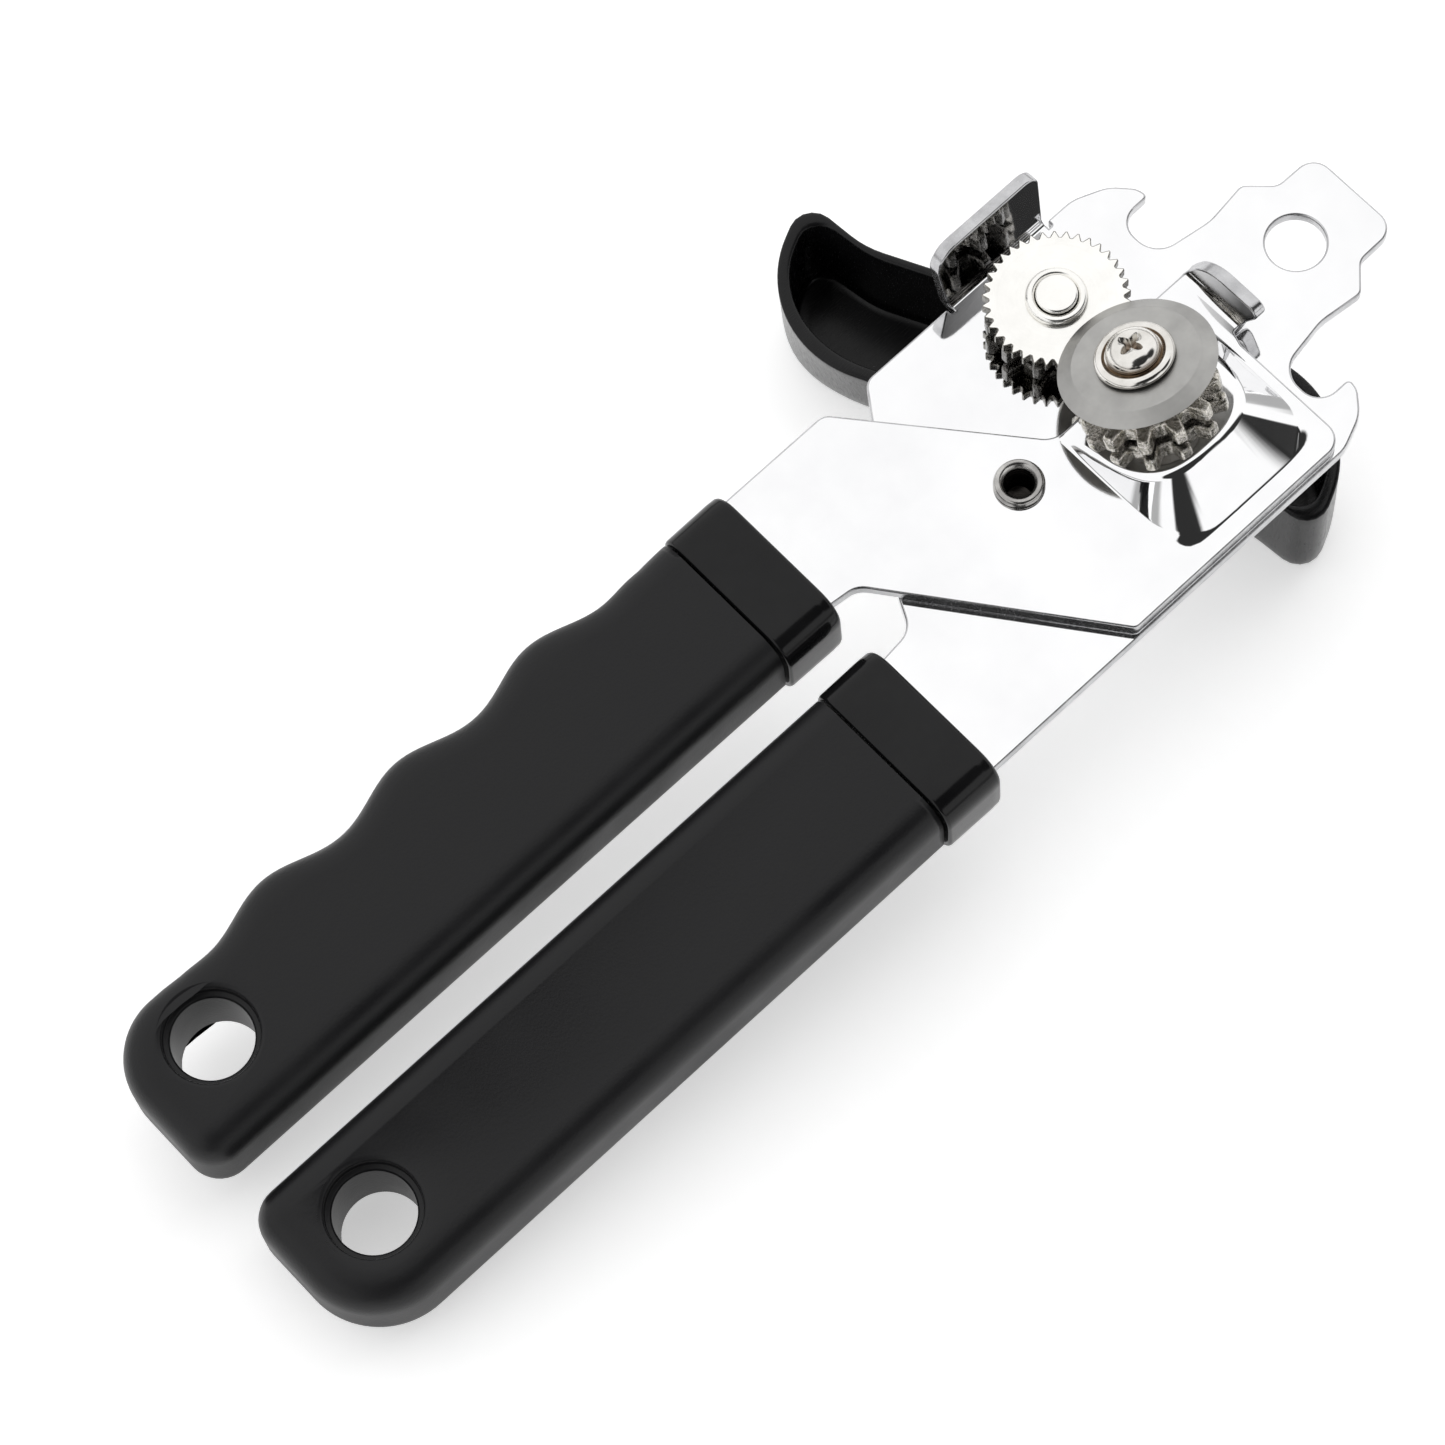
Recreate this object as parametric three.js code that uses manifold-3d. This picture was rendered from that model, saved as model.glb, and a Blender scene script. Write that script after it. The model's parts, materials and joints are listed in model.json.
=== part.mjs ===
// Manual can opener: two pressed-steel levers that cross at a tubular rivet. The back lever carries
// the turning key, drive gear and toothed feed wheel; the front lever carries the tilted cutting disc.
//
// Lengths are millimetres. In the lever frame the rivet stands at x = y = 0, +X runs to the
// cap-lifter tail, +Y to the feed wheel's side and z = 0 is the top face of the back plate.
// At the end the whole opener is turned to lie as it does on a table.
import * as THREE from "three";
import { mergeVertices } from "three/addons/utils/BufferGeometryUtils.js";
import Module from "manifold-3d";

const wasm = await Module();
wasm.setup();

// ---- driving dimensions ----
const SHEET = 1.8; // steel sheet of both levers
const PLATE_GAP = 0.25; // between the two plates
const FRONT_Z = PLATE_GAP; // underside of the front plate
const FRONT_TOP = FRONT_Z + SHEET;
const HALF_WIDTH = 25; // the plates reach this far each side of the rivet
const TAIL_X = 61; // end of the cap-lifter tail
const STACK_GAP = 0.1; // air between stacked pieces
const RUN = 0.1; // radial clearance on a shaft

const PIVOT = { shank: 2.9, bore: 2.3, head: 3.4, headHeight: 1.0, tail: 4.2, tailHeight: 0.9 };
const PIVOT_WASHER = { radius: 5.4, thick: 0.7 };

const DRIVE = { x: 20.3, y: 14.0, shaft: 2.75 };
const BUSHING = { hole: 4.2, neck: 4.1, foot: 5.2, bottom: -2.6, flange: 6.0, top: 0.6 };
const THRUST_WASHER = { radius: 5.5, top: 1.1 };
// land and foot are the shares of the pitch that a tooth covers at its tip and at its root.
const GEAR = { teeth: 12, root: 7.1, tip: 9.45, land: 0.2, foot: 0.6, top: 4.6 };
const FEED = { teeth: 38, root: 8.9, tip: 9.6, land: 0.2, foot: 0.8, bottom: 4.8, top: 6.5 };
const COLLAR = { radius: 4.0, top: 7.6 };
const SHAFT_TOP = 8.0;

const KEY = { rim: -13.6, bottom: -30.5, hubTop: -3.7, hub: 6.2, wall: 1.8, recess: 5.0 };
const KEY_TURN = THREE.MathUtils.degToRad(115); // how far the wings stand from +X
const KEY_LENGTH = 40.5; // half length, shaft to wing tip
const KEY_WIDTH = 10.5; // half width of a wing
const KEY_ROUND = 2.2; // how far the underside's rounding pulls the plan in
const KEY_LEAN = 2.6; // how far the full side of a wing slopes in on its way down

const TILT = THREE.MathUtils.degToRad(20); // the cutter leans towards the feed wheel
const DISC = { x: 19.7, y: -0.85, z: 12.0, radius: 10.5, flat: 8.4, thick: 1.3 };
// Depths down the cutter axis, from the disc's top face.
const POST = { radius: 2.8, bore: 1.75, top: -0.3, flange: 3.3 };
const SPACER = { radius: 5.0, top: 1.4, bottom: 5.3 };
const CUTTER_GEAR = { teeth: 12, root: 7.2, tip: 9.6, land: 0.2, foot: 0.6, top: 5.4, bottom: 8.0 };
const SEAT_WASHER = { radius: 5.2, top: 8.1, bottom: 8.6 };
const SEAT = { depth: 8.7, radius: 12.3, edge: 1.0 }; // the raised seat's surface, crest and open side
const SEAT_FOOT = { x: 20.0, halfWidth: 12.1, reach: 18.2, power: 7 }; // where it rises from the plate

const FRONT_GUARD = { wall: 36.3, height: 8.2, near: -3.9, far: 6.5, radius: 1.3, skew: -0.5 }; // by the disc
const CAN_GUIDE = { wall: 25.3, height: 12.8, from: 11.8, to: 28.8, radius: 0.8 }; // by the feed wheel
const STRIP_LAP = 1.2; // how far a bent strip runs into the plate it leaves
const TAIL_HOLE = { x: 50.2, y: 0.1, radius: 4.0 };

const GRIP = { front: -30, end: -135.2, straight: -124, collar: 8.8, thick: 13.4, bevel: 2.8 };
const FRONT_GRIP = { inner: 2.3, outer: 24.0, waves: 2.5 };
const BACK_GRIP = { inner: 4.1, outer: 26.9, waves: 0 };
const WAVE = { pitch: 22.4, crest: -60.4, from: -49.2, to: -116.4, rest: 0.2 }; // finger waves
const HANG = { x: -123.6, y: 14.9, mouth: 6.15, bore: 5.3, step: 1.6 };
const TANG = { end: -72, inner: 9, outer: 20, slack: 0.3 };
const COLLAR_GAP = 0.3; // between a grip and its collar
const PLATE_START = GRIP.front + 0.4; // the plates narrow to their tangs just ahead of the grips
const BEYOND = 60; // further sideways, and further up or down, than any grip reaches

// ---- solids ----
function toSolid(geometry) {
  const bare = geometry.clone();
  bare.deleteAttribute("normal");
  bare.deleteAttribute("uv");
  const merged = mergeVertices(bare, 1e-4);
  const vertProperties = new Float32Array(merged.attributes.position.array);
  const triVerts = new Uint32Array(merged.index.array);
  return new wasm.Manifold(new wasm.Mesh({ numProp: 3, vertProperties, triVerts }));
}

function toGeometry(solid) {
  const mesh = solid.getMesh();
  const geometry = new THREE.BufferGeometry();
  geometry.setAttribute("position", new THREE.BufferAttribute(mesh.vertProperties, 3));
  geometry.setIndex(new THREE.BufferAttribute(mesh.triVerts, 1));
  geometry.computeVertexNormals();
  return geometry;
}

const join = (...pieces) => toGeometry(pieces.map(toSolid).reduce((a, b) => a.add(b)));
const cut = (base, ...tools) =>
  toGeometry(tools.map(toSolid).reduce((a, b) => a.subtract(b), toSolid(base)));
const common = (a, b) => toGeometry(toSolid(a).intersect(toSolid(b)));

// ---- shapes ----
// A closed outline through corner points [x, y, radius], each corner rounded by an arc.
function outline(corners) {
  const shape = new THREE.Shape();
  const point = (i) => new THREE.Vector2(...corners.at(i % corners.length).slice(0, 2));
  corners.forEach(([x, y, radius = 0], i) => {
    const corner = new THREE.Vector2(x, y);
    const back = point(i - 1).sub(corner).normalize();
    const ahead = point(i + 1).sub(corner).normalize();
    const half = Math.acos(back.dot(ahead)) / 2;
    const start = corner.clone().addScaledVector(back, radius / Math.tan(half));
    if (i === 0) shape.moveTo(start.x, start.y);
    else shape.lineTo(start.x, start.y);
    if (radius === 0) return;
    const end = corner.clone().addScaledVector(ahead, radius / Math.tan(half));
    const bisector = back.clone().add(ahead).normalize();
    const centre = corner.clone().addScaledVector(bisector, radius / Math.sin(half));
    const from = start.clone().sub(centre).angle();
    const to = end.clone().sub(centre).angle();
    shape.absarc(centre.x, centre.y, radius, from, to, back.cross(ahead) > 0);
  });
  shape.closePath();
  return shape;
}

// A shape in the XY plane given a thickness between two heights.
function slab(shape, bottom, top, curveSegments = 5) {
  const depth = top - bottom;
  const options = { depth, bevelEnabled: false, curveSegments };
  return new THREE.ExtrudeGeometry(shape, options).translate(0, 0, bottom);
}

// A solid turned about +Z from [radius, z] points that run up its outside.
function turned(points, segments = 24) {
  const profile = points.map(([r, z]) => new THREE.Vector2(r, -z));
  return new THREE.LatheGeometry(profile.reverse(), segments).rotateX(-Math.PI / 2);
}

const ring = (inner, outer, bottom, top, segments = 24) =>
  turned([[inner, bottom], [outer, bottom], [outer, top], [inner, top], [inner, bottom]], segments);

const rod = (radius, bottom, top, segments = 24) =>
  turned([[0, bottom], [radius, bottom], [radius, top], [0, top]], segments);

function box(x0, x1, y0, y1, z0, z1) {
  const geometry = new THREE.BoxGeometry(x1 - x0, y1 - y0, z1 - z0);
  return geometry.translate((x0 + x1) / 2, (y0 + y1) / 2, (z0 + z1) / 2);
}

function toothed({ teeth, root, tip, land, foot }) {
  const pitch = (2 * Math.PI) / teeth;
  const polar = (r, a) => new THREE.Vector2(r * Math.cos(a), r * Math.sin(a));
  const points = [];
  for (let i = 0; i < teeth; i++) {
    const middle = i * pitch;
    points.push(polar(root, middle - (foot * pitch) / 2));
    points.push(polar(tip, middle - (land * pitch) / 2));
    points.push(polar(tip, middle + (land * pitch) / 2));
    points.push(polar(root, middle + (foot * pitch) / 2));
  }
  return new THREE.Shape(points);
}

// A closed solid through rings of points, each counter-clockwise from above, lowest ring first.
function loft(rings) {
  const count = rings[0].length;
  const positions = rings.flat().flatMap((p) => [p.x, p.y, p.z]);
  const index = [];
  for (let k = 0; k + 1 < rings.length; k++)
    for (let i = 0; i < count; i++) {
      const j = (i + 1) % count;
      const a = k * count;
      const b = a + count;
      index.push(a + i, a + j, b + j, a + i, b + j, b + i);
    }
  const plan = (points) => points.map((p) => new THREE.Vector2(p.x, p.y));
  const last = (rings.length - 1) * count;
  for (const [a, b, c] of THREE.ShapeUtils.triangulateShape(plan(rings[0]), []))
    index.push(a, c, b);
  for (const [a, b, c] of THREE.ShapeUtils.triangulateShape(plan(rings.at(-1)), []))
    index.push(last + a, last + b, last + c);
  const geometry = new THREE.BufferGeometry();
  geometry.setAttribute("position", new THREE.Float32BufferAttribute(positions, 3));
  return geometry.setIndex(index);
}

// ---- materials ----
const steel = (color, roughness) =>
  new THREE.MeshStandardMaterial({ color, roughness, metalness: 1 });
const plastic = (color, roughness) =>
  new THREE.MeshStandardMaterial({ color, roughness, metalness: 0 });
const FINISH = {
  chrome: () => steel(0xe6e6e8, 0.12),
  nickel: () => steel(0xd6d2c8, 0.25),
  cutter: () => steel(0xa5a5a3, 0.38),
  zinc: () => steel(0x8f8c86, 0.45),
  satin: () => plastic(0x2b2b2d, 0.5),
  gloss: () => plastic(0x101012, 0.15),
};

function piece(name, geometry, finish) {
  const mesh = new THREE.Mesh(geometry, FINISH[finish]());
  mesh.name = name;
  return mesh;
}

// ---- back lever ----
// Half of the cap-lifter head, from the plate's side to the middle of the tail.
const HEAD = [
  [33.8, HALF_WIDTH, 5],
  [38.6, 23.0, 4],
  [41.0, 20.2, 2.5],
  [41.4, 18.3, 0.6],
  [35.9, 18.3, 2.9],
  [35.9, 11.6, 3.6],
  [44.5, 10.2, 8],
  [51.0, 11.0, 1.2],
  [54.4, 7.6, 2],
  [TAIL_X, 7.5, 2.8],
];

// A strip of sheet that leaves a plate, turns up round a bend and stands to a height. Its section lies
// in XY (x away from the plate, y up, y = 0 at the plate's underside) and it runs along +Z.
function bentStrip(wallX, radius, height, length) {
  const bendX = wallX - radius;
  const section = new THREE.Shape();
  section.moveTo(bendX - STRIP_LAP, 0);
  section.lineTo(bendX, 0);
  section.absarc(bendX, SHEET + radius, SHEET + radius, -Math.PI / 2, 0);
  section.lineTo(wallX + SHEET, height);
  section.lineTo(wallX, height);
  section.lineTo(wallX, SHEET + radius);
  section.absarc(bendX, SHEET + radius, radius, 0, -Math.PI / 2, true);
  section.lineTo(bendX - STRIP_LAP, SHEET);
  return slab(section, 0, length, 6);
}

function canGuide() {
  const { wall, height, from, to, radius } = CAN_GUIDE;
  // Section x becomes +Y, section y becomes +Z and the run becomes +X.
  const strip = bentStrip(wall, radius, height + SHEET, to - from)
    .rotateX(Math.PI / 2)
    .rotateZ(Math.PI / 2)
    .translate(from, 0, -SHEET);
  const face = outline([
    [from, -SHEET - 1],
    [to, -SHEET - 1],
    [to, height, 2.2],
    [from, height, 3],
  ]);
  const window = slab(face, 0, 8).rotateX(Math.PI / 2).translate(0, wall + 5, 0);
  return common(strip, window);
}

function backPlate() {
  const mirrored = HEAD.map(([x, y, r]) => [x, -y, r]);
  const shape = outline([
    [TANG.end, -TANG.outer, 3],
    [PLATE_START, -TANG.outer],
    [PLATE_START, -HALF_WIDTH],
    ...mirrored,
    ...HEAD.toReversed(),
    [-3.4, HALF_WIDTH, 2.2],
    [-21.2, 0.2, 3],
    [-23.2, -3.8, 2],
    [PLATE_START, -4.4],
    [PLATE_START, -TANG.inner],
    [TANG.end, -TANG.inner, 3],
  ]);
  const plate = join(slab(shape, -SHEET, 0), canGuide());
  return cut(
    plate,
    rod(PIVOT.shank + RUN, -SHEET - 1, 1),
    rod(BUSHING.hole, -SHEET - 1, 1).translate(DRIVE.x, DRIVE.y, 0),
    rod(TAIL_HOLE.radius, -SHEET - 1, 1).translate(TAIL_HOLE.x, TAIL_HOLE.y, 0),
  );
}

// ---- front lever ----
// Half-plan ring of the raised seat: straight sides from the plate's edge, then round the far side.
// A power of 2 gives a half ellipse and a higher one squarer corners.
function bossRing(x, halfWidth, depth, power, edgeY, heightAt) {
  const axisY = seatCentre().y;
  const points = [];
  const add = (px, py) => points.push(new THREE.Vector3(px, py, heightAt(py)));
  const steps = 28;
  add(x - halfWidth, edgeY);
  for (let i = 0; i <= steps; i++) {
    const angle = Math.PI + (Math.PI * i) / steps;
    const c = Math.cos(angle);
    const s = Math.sin(angle);
    const sum = Math.abs(c / halfWidth) ** power + Math.abs(s / depth) ** power;
    const reach = sum ** (-1 / power);
    add(x + reach * c, axisY + reach * s);
  }
  add(x + halfWidth, edgeY);
  return points;
}

function seatCentre() {
  const down = SEAT.depth;
  return new THREE.Vector3(DISC.x, DISC.y - down * Math.sin(TILT), DISC.z - down * Math.cos(TILT));
}

function raisedSeat(shrink, lower, edgeY, baseZ) {
  const centre = seatCentre();
  const plane = (y) => centre.z - lower - Math.tan(TILT) * (y - centre.y);
  const { x, halfWidth, reach, power } = SEAT_FOOT;
  const foot = bossRing(x, halfWidth - shrink, reach - shrink, power, edgeY, () => baseZ);
  const crest = SEAT.radius - shrink;
  const top = bossRing(DISC.x, crest, crest * Math.cos(TILT), 2, edgeY, plane);
  return loft([foot, top]);
}

function discGuard() {
  const { wall, height, near, far, radius, skew } = FRONT_GUARD;
  // Section x stays +X, section y becomes +Z and the run goes along +Y.
  const strip = bentStrip(wall, radius, height - FRONT_Z, far - near)
    .rotateX(Math.PI / 2)
    .translate(0, far, FRONT_Z);
  const face = outline([
    [near, -2],
    [far, -2],
    [far, height, 3.5],
    [near, height, 2.5],
  ]);
  const window = slab(face, wall - 5, wall + 5).rotateX(Math.PI / 2).rotateZ(Math.PI / 2);
  const lean = new THREE.Matrix4().makeShear(0, 0, 0, 0, 0, skew);
  const upright = common(strip, window).translate(0, 0, -FRONT_TOP);
  return upright.applyMatrix4(lean).translate(0, 0, FRONT_TOP);
}

function frontPlate() {
  const edgeX = 34.1;
  const guardX = FRONT_GUARD.wall - FRONT_GUARD.radius;
  const shape = outline([
    [TANG.end, TANG.inner, 3],
    [PLATE_START, TANG.inner],
    [PLATE_START, 4.9],
    [-24.3, 4.6, 2],
    [-2.9, -24.3, 1.5],
    [edgeX, -24.5, 2.8],
    [edgeX, -5.9, 1],
    [guardX, FRONT_GUARD.near],
    [guardX, FRONT_GUARD.far],
    [27.4, FRONT_GUARD.far, 2],
    [24.6, 1.1, 3],
    [7.6, 0.7, 3.5],
    [-11.2, 24.7, 2.2],
    [PLATE_START, 24.7],
    [PLATE_START, TANG.outer],
    [TANG.end, TANG.outer, 3],
  ]);
  const seat = raisedSeat(0, 0, SEAT.edge, FRONT_Z);
  const hollow = raisedSeat(SHEET, SHEET / Math.cos(TILT), SEAT.edge - SHEET, FRONT_Z - 1);
  const bore = onCutterAxis(rod(POST.radius + RUN, -14, -6));
  return cut(
    join(slab(shape, FRONT_Z, FRONT_TOP), seat, discGuard()),
    hollow,
    rod(PIVOT.shank + RUN, FRONT_Z - 1, FRONT_TOP + 1),
    bore,
  );
}

// ---- grips ----
// Outline of a grip on the +Y side; waves is the height of its finger waves, or 0.
function gripOutline({ inner, outer, waves }) {
  const side = (x) => {
    const phase = (2 * Math.PI * (x - WAVE.crest)) / WAVE.pitch;
    const strength = x < WAVE.from && x > WAVE.to ? 1 : WAVE.rest;
    return outer + (waves * strength * (1 + Math.cos(phase))) / 2;
  };
  const corners = [
    [GRIP.front + 6, inner],
    [GRIP.front + 6, side(GRIP.front)],
  ];
  const stride = waves ? WAVE.pitch / 8 : 30;
  for (let x = GRIP.front; x > GRIP.straight; x -= stride) corners.push([x, side(x)]);
  corners.push([GRIP.end, side(GRIP.straight), 9.5], [GRIP.end, inner, 4.5]);
  return outline(corners);
}

// A whole grip on the +Y side, with its rounded edges, hanging hole and slot for the plate's tang.
function gripBlank(form, plateZ) {
  const bevel = GRIP.bevel;
  const middle = plateZ + SHEET / 2;
  const blank = new THREE.ExtrudeGeometry(gripOutline(form), {
    depth: GRIP.thick - 2 * bevel,
    bevelThickness: bevel,
    bevelSize: bevel,
    bevelOffset: -bevel,
    bevelSegments: 3,
    curveSegments: 5,
  }).translate(0, 0, middle - GRIP.thick / 2 + bevel);
  const half = GRIP.thick / 2;
  const hole = turned([
    [0, -half - 1],
    [HANG.mouth, -half - 1],
    [HANG.mouth, -half + HANG.step],
    [HANG.bore, -half + HANG.step],
    [HANG.bore, half - HANG.step],
    [HANG.mouth, half - HANG.step],
    [HANG.mouth, half + 1],
    [0, half + 1],
  ]).translate(HANG.x, HANG.y, middle);
  const s = TANG.slack;
  const slot = box(TANG.end - s, 0, TANG.inner - s, TANG.outer + s, plateZ - s, plateZ + SHEET + s);
  return cut(blank, hole, slot);
}

// The glossy collar at the front of a grip and the satin body behind it.
function gripPieces(form, plateZ, side) {
  const blank = gripBlank(form, plateZ);
  if (side < 0) blank.rotateX(Math.PI).translate(0, 0, 2 * plateZ + SHEET);
  const split = GRIP.front - GRIP.collar;
  const between = (x0, x1) => box(x0, x1, -BEYOND, BEYOND, -BEYOND, BEYOND);
  const ahead = between(GRIP.front, 0);
  const behind = between(GRIP.end - 10, split);
  const fore = between(split - COLLAR_GAP, 0);
  return { collar: cut(blank, ahead, behind), body: cut(blank, fore) };
}

// ---- pivot ----
function pivotRivet() {
  const { shank, bore, head, headHeight, tail, tailHeight } = PIVOT;
  const top = FRONT_TOP + STACK_GAP;
  const seat = -SHEET - 2 * STACK_GAP - PIVOT_WASHER.thick;
  return turned([
    [0, seat - tailHeight],
    [tail - 0.4, seat - tailHeight],
    [tail, seat - tailHeight + 0.4],
    [tail, seat],
    [shank, seat],
    [shank, top],
    [head, top],
    [head, top + headHeight * 0.5],
    [head - 0.35, top + headHeight],
    [bore + 0.3, top + headHeight],
    [bore, top + headHeight - 0.3],
    [bore, -0.6],
    [0, -1.2],
  ]);
}

function pivotWasher() {
  const top = -SHEET - STACK_GAP;
  return ring(PIVOT.shank + RUN, PIVOT_WASHER.radius, top - PIVOT_WASHER.thick, top);
}

// ---- drive ----
const BORE = DRIVE.shaft + RUN; // of everything the shaft carries

function driveBushing() {
  const { neck, foot, bottom, flange, top } = BUSHING;
  return turned([
    [BORE, bottom],
    [foot, bottom],
    [foot, -SHEET - STACK_GAP],
    [neck, -SHEET - STACK_GAP],
    [neck, STACK_GAP],
    [flange, STACK_GAP],
    [flange, top],
    [BORE, top],
    [BORE, bottom],
  ]);
}

// A dished spring washer between the bushing and the key's hub.
const springWasher = () =>
  turned([[BORE + 0.3, -3.6], [6.0, -3.3], [6.0, -2.9], [BORE + 0.3, -3.2], [BORE + 0.3, -3.6]]);

function driveShaft() {
  const r = DRIVE.shaft;
  return turned([
    [0, KEY.bottom + 1.0],
    [3.6, KEY.bottom + 1.0],
    [4.1, KEY.bottom + 1.5],
    [4.1, KEY.bottom + 2.1],
    [r, KEY.bottom + 2.1],
    [r, SHAFT_TOP - 0.35],
    [r - 0.35, SHAFT_TOP],
    [0, SHAFT_TOP],
  ]);
}

const bored = (shape, radius) => {
  shape.holes.push(new THREE.Path().absarc(0, 0, radius, 0, 2 * Math.PI, true));
  return shape;
};

const driveGear = () =>
  slab(bored(toothed(GEAR), BORE), THRUST_WASHER.top + STACK_GAP, GEAR.top, 24);

const feedWheel = () => slab(bored(toothed(FEED), BORE), FEED.bottom, FEED.top, 24);

const thrustWasher = () =>
  ring(BORE, THRUST_WASHER.radius, BUSHING.top + STACK_GAP, THRUST_WASHER.top);

function feedCollar() {
  const { radius, top } = COLLAR;
  const bottom = FEED.top + STACK_GAP;
  return turned([
    [BORE, bottom],
    [radius, bottom],
    [radius, top - 0.3],
    [radius - 0.3, top],
    [BORE + 0.3, top],
    [BORE, top - 0.3],
    [BORE, bottom],
  ]);
}

// ---- turning key ----
// Plan of the butterfly key, x along the wings, counter-clockwise; the second wing is the first one
// turned half way round. The leading side of a wing is hollow and its trailing side full.
function keyPlan() {
  const wing = [
    [12, -7.4, 14],
    [30, -7.2, 14],
    [KEY_LENGTH, -11.2, 3.2],
    [KEY_LENGTH, 11.6, 16],
    [18, 11.6, 12],
  ];
  const turnedRound = wing.map(([x, y, r]) => [-x, -y, r]);
  const plan = outline([...wing, ...turnedRound]).getPoints(3);
  return plan.filter((p, i) => p.distanceTo(plan.at(i - 1)) > 1e-6);
}

// The key's outer or inner form: its plan loses the inset all round, leans in on the full side of each
// wing and is rounded at the underside at the bottom height; top is the height of the open end.
function keyForm(inset, bottom, top) {
  const plan = keyPlan();
  const steps = 6;
  const levels = [];
  for (let i = 0; i <= steps; i++) {
    const depth = Math.sin((Math.PI / 2) * (1 - i / steps));
    const pull = inset + KEY_ROUND * (1 - (1 - depth ** 8) ** (1 / 8));
    const z = i < steps ? KEY.rim + (bottom - KEY.rim) * depth : top;
    levels.push(
      plan.map((p) => {
        const full = Math.max(0, Math.sign(p.x) * p.y) / KEY_WIDTH;
        const lean = KEY_LEAN * depth * full * Math.min(1, Math.abs(p.x) / 20);
        const x = p.x * (1 - (pull + lean / 2) / KEY_LENGTH);
        return new THREE.Vector3(x, p.y * (1 - (pull + lean) / KEY_WIDTH), z);
      }),
    );
  }
  return loft(levels);
}

function turningKey() {
  const outer = keyForm(0, KEY.bottom, KEY.rim);
  const inner = keyForm(KEY.wall, KEY.bottom + KEY.wall, KEY.rim + 1);
  const shell = cut(outer, inner);
  const hub = rod(KEY.hub, KEY.bottom + 1, KEY.hubTop);
  const recess = rod(KEY.recess, KEY.bottom - 1, KEY.bottom + 2.9);
  return cut(join(shell, hub), rod(BORE, KEY.bottom - 1, 0), recess);
}

const keyWasher = () => ring(BORE, KEY.recess - 0.3, KEY.bottom + 2.2, KEY.bottom + 2.8);

// ---- cutter ----
// Turns a piece made about +Z, with z = 0 at the disc's top face, onto the tilted cutter axis.
function onCutterAxis(geometry) {
  return geometry.rotateX(-TILT).translate(DISC.x, DISC.y, DISC.z);
}

const POST_BORE = POST.radius + RUN; // of the pieces that turn on the post

function cutterWheel() {
  const { radius, flat, thick } = DISC;
  return turned(
    [
      [POST_BORE, -thick],
      [radius - 0.2, -thick],
      [radius, -thick + 0.25],
      [flat, 0],
      [POST_BORE, 0],
      [POST_BORE, -thick],
    ],
    48,
  );
}

function cutterPost() {
  const under = SEAT.depth + SHEET + STACK_GAP;
  return turned([
    [POST.bore, -under - 0.7],
    [POST.flange, -under - 0.7],
    [POST.flange, -under],
    [POST.radius, -under],
    [POST.radius, -POST.top],
    [POST.bore, -POST.top],
    [POST.bore, -under - 0.7],
  ]);
}

const cutterSpacer = () => ring(POST_BORE, SPACER.radius, -SPACER.bottom, -SPACER.top);
const seatWasher = () => ring(POST_BORE, SEAT_WASHER.radius, -SEAT_WASHER.bottom, -SEAT_WASHER.top);

function cutterGear() {
  const { teeth, top, bottom } = CUTTER_GEAR;
  const shape = bored(toothed(CUTTER_GEAR), POST_BORE);
  return slab(shape, -bottom, -top, 24).rotateZ(Math.PI / teeth);
}

const WASHER_RISE = 1.2; // top of the washer above the disc's face

function cutterWasher() {
  const bottom = -POST.top + STACK_GAP;
  return turned([
    [1.8, bottom],
    [5.6, bottom],
    [5.6, WASHER_RISE - 0.3],
    [5.3, WASHER_RISE],
    [1.8, WASHER_RISE],
    [1.8, bottom],
  ]);
}

// A domed screw head with a cross recess, on a shank that ends inside the post.
function cutterScrew() {
  const seat = WASHER_RISE + STACK_GAP;
  const body = turned([
    [0, -8],
    [1.6, -8],
    [1.6, seat],
    [3.9, seat],
    [3.9, seat + 0.7],
    [3.3, seat + 1.5],
    [2.0, seat + 2.0],
    [0, seat + 2.1],
  ]);
  const slot = (turn) => box(-2, 2, -0.45, 0.45, seat + 0.5, seat + 3).rotateZ(turn);
  return cut(body, join(slot(Math.PI / 4), slot(-Math.PI / 4)));
}

// ---- assembly ----
const backGrip = gripPieces(BACK_GRIP, -SHEET, -1);
const frontGrip = gripPieces(FRONT_GRIP, FRONT_Z, 1);

const backLever = new THREE.Group();
backLever.add(
  piece("back_lever_plate", backPlate(), "chrome"),
  piece("back_grip", backGrip.body, "satin"),
  piece("back_grip_collar", backGrip.collar, "gloss"),
  piece("pivot_rivet", pivotRivet(), "nickel"),
  piece("pivot_washer", pivotWasher(), "zinc"),
);

const drive = new THREE.Group();
drive.position.set(DRIVE.x, DRIVE.y, 0);
const key = piece("turning_key", turningKey(), "gloss");
key.rotation.z = KEY_TURN;
drive.add(
  piece("drive_bushing", driveBushing(), "zinc"),
  piece("thrust_washer", thrustWasher(), "zinc"),
  piece("drive_shaft", driveShaft(), "nickel"),
  piece("drive_gear", driveGear(), "zinc"),
  piece("feed_wheel", feedWheel(), "nickel"),
  piece("feed_wheel_collar", feedCollar(), "nickel"),
  piece("key_spring_washer", springWasher(), "zinc"),
  piece("key_washer", keyWasher(), "zinc"),
  key,
);

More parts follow.
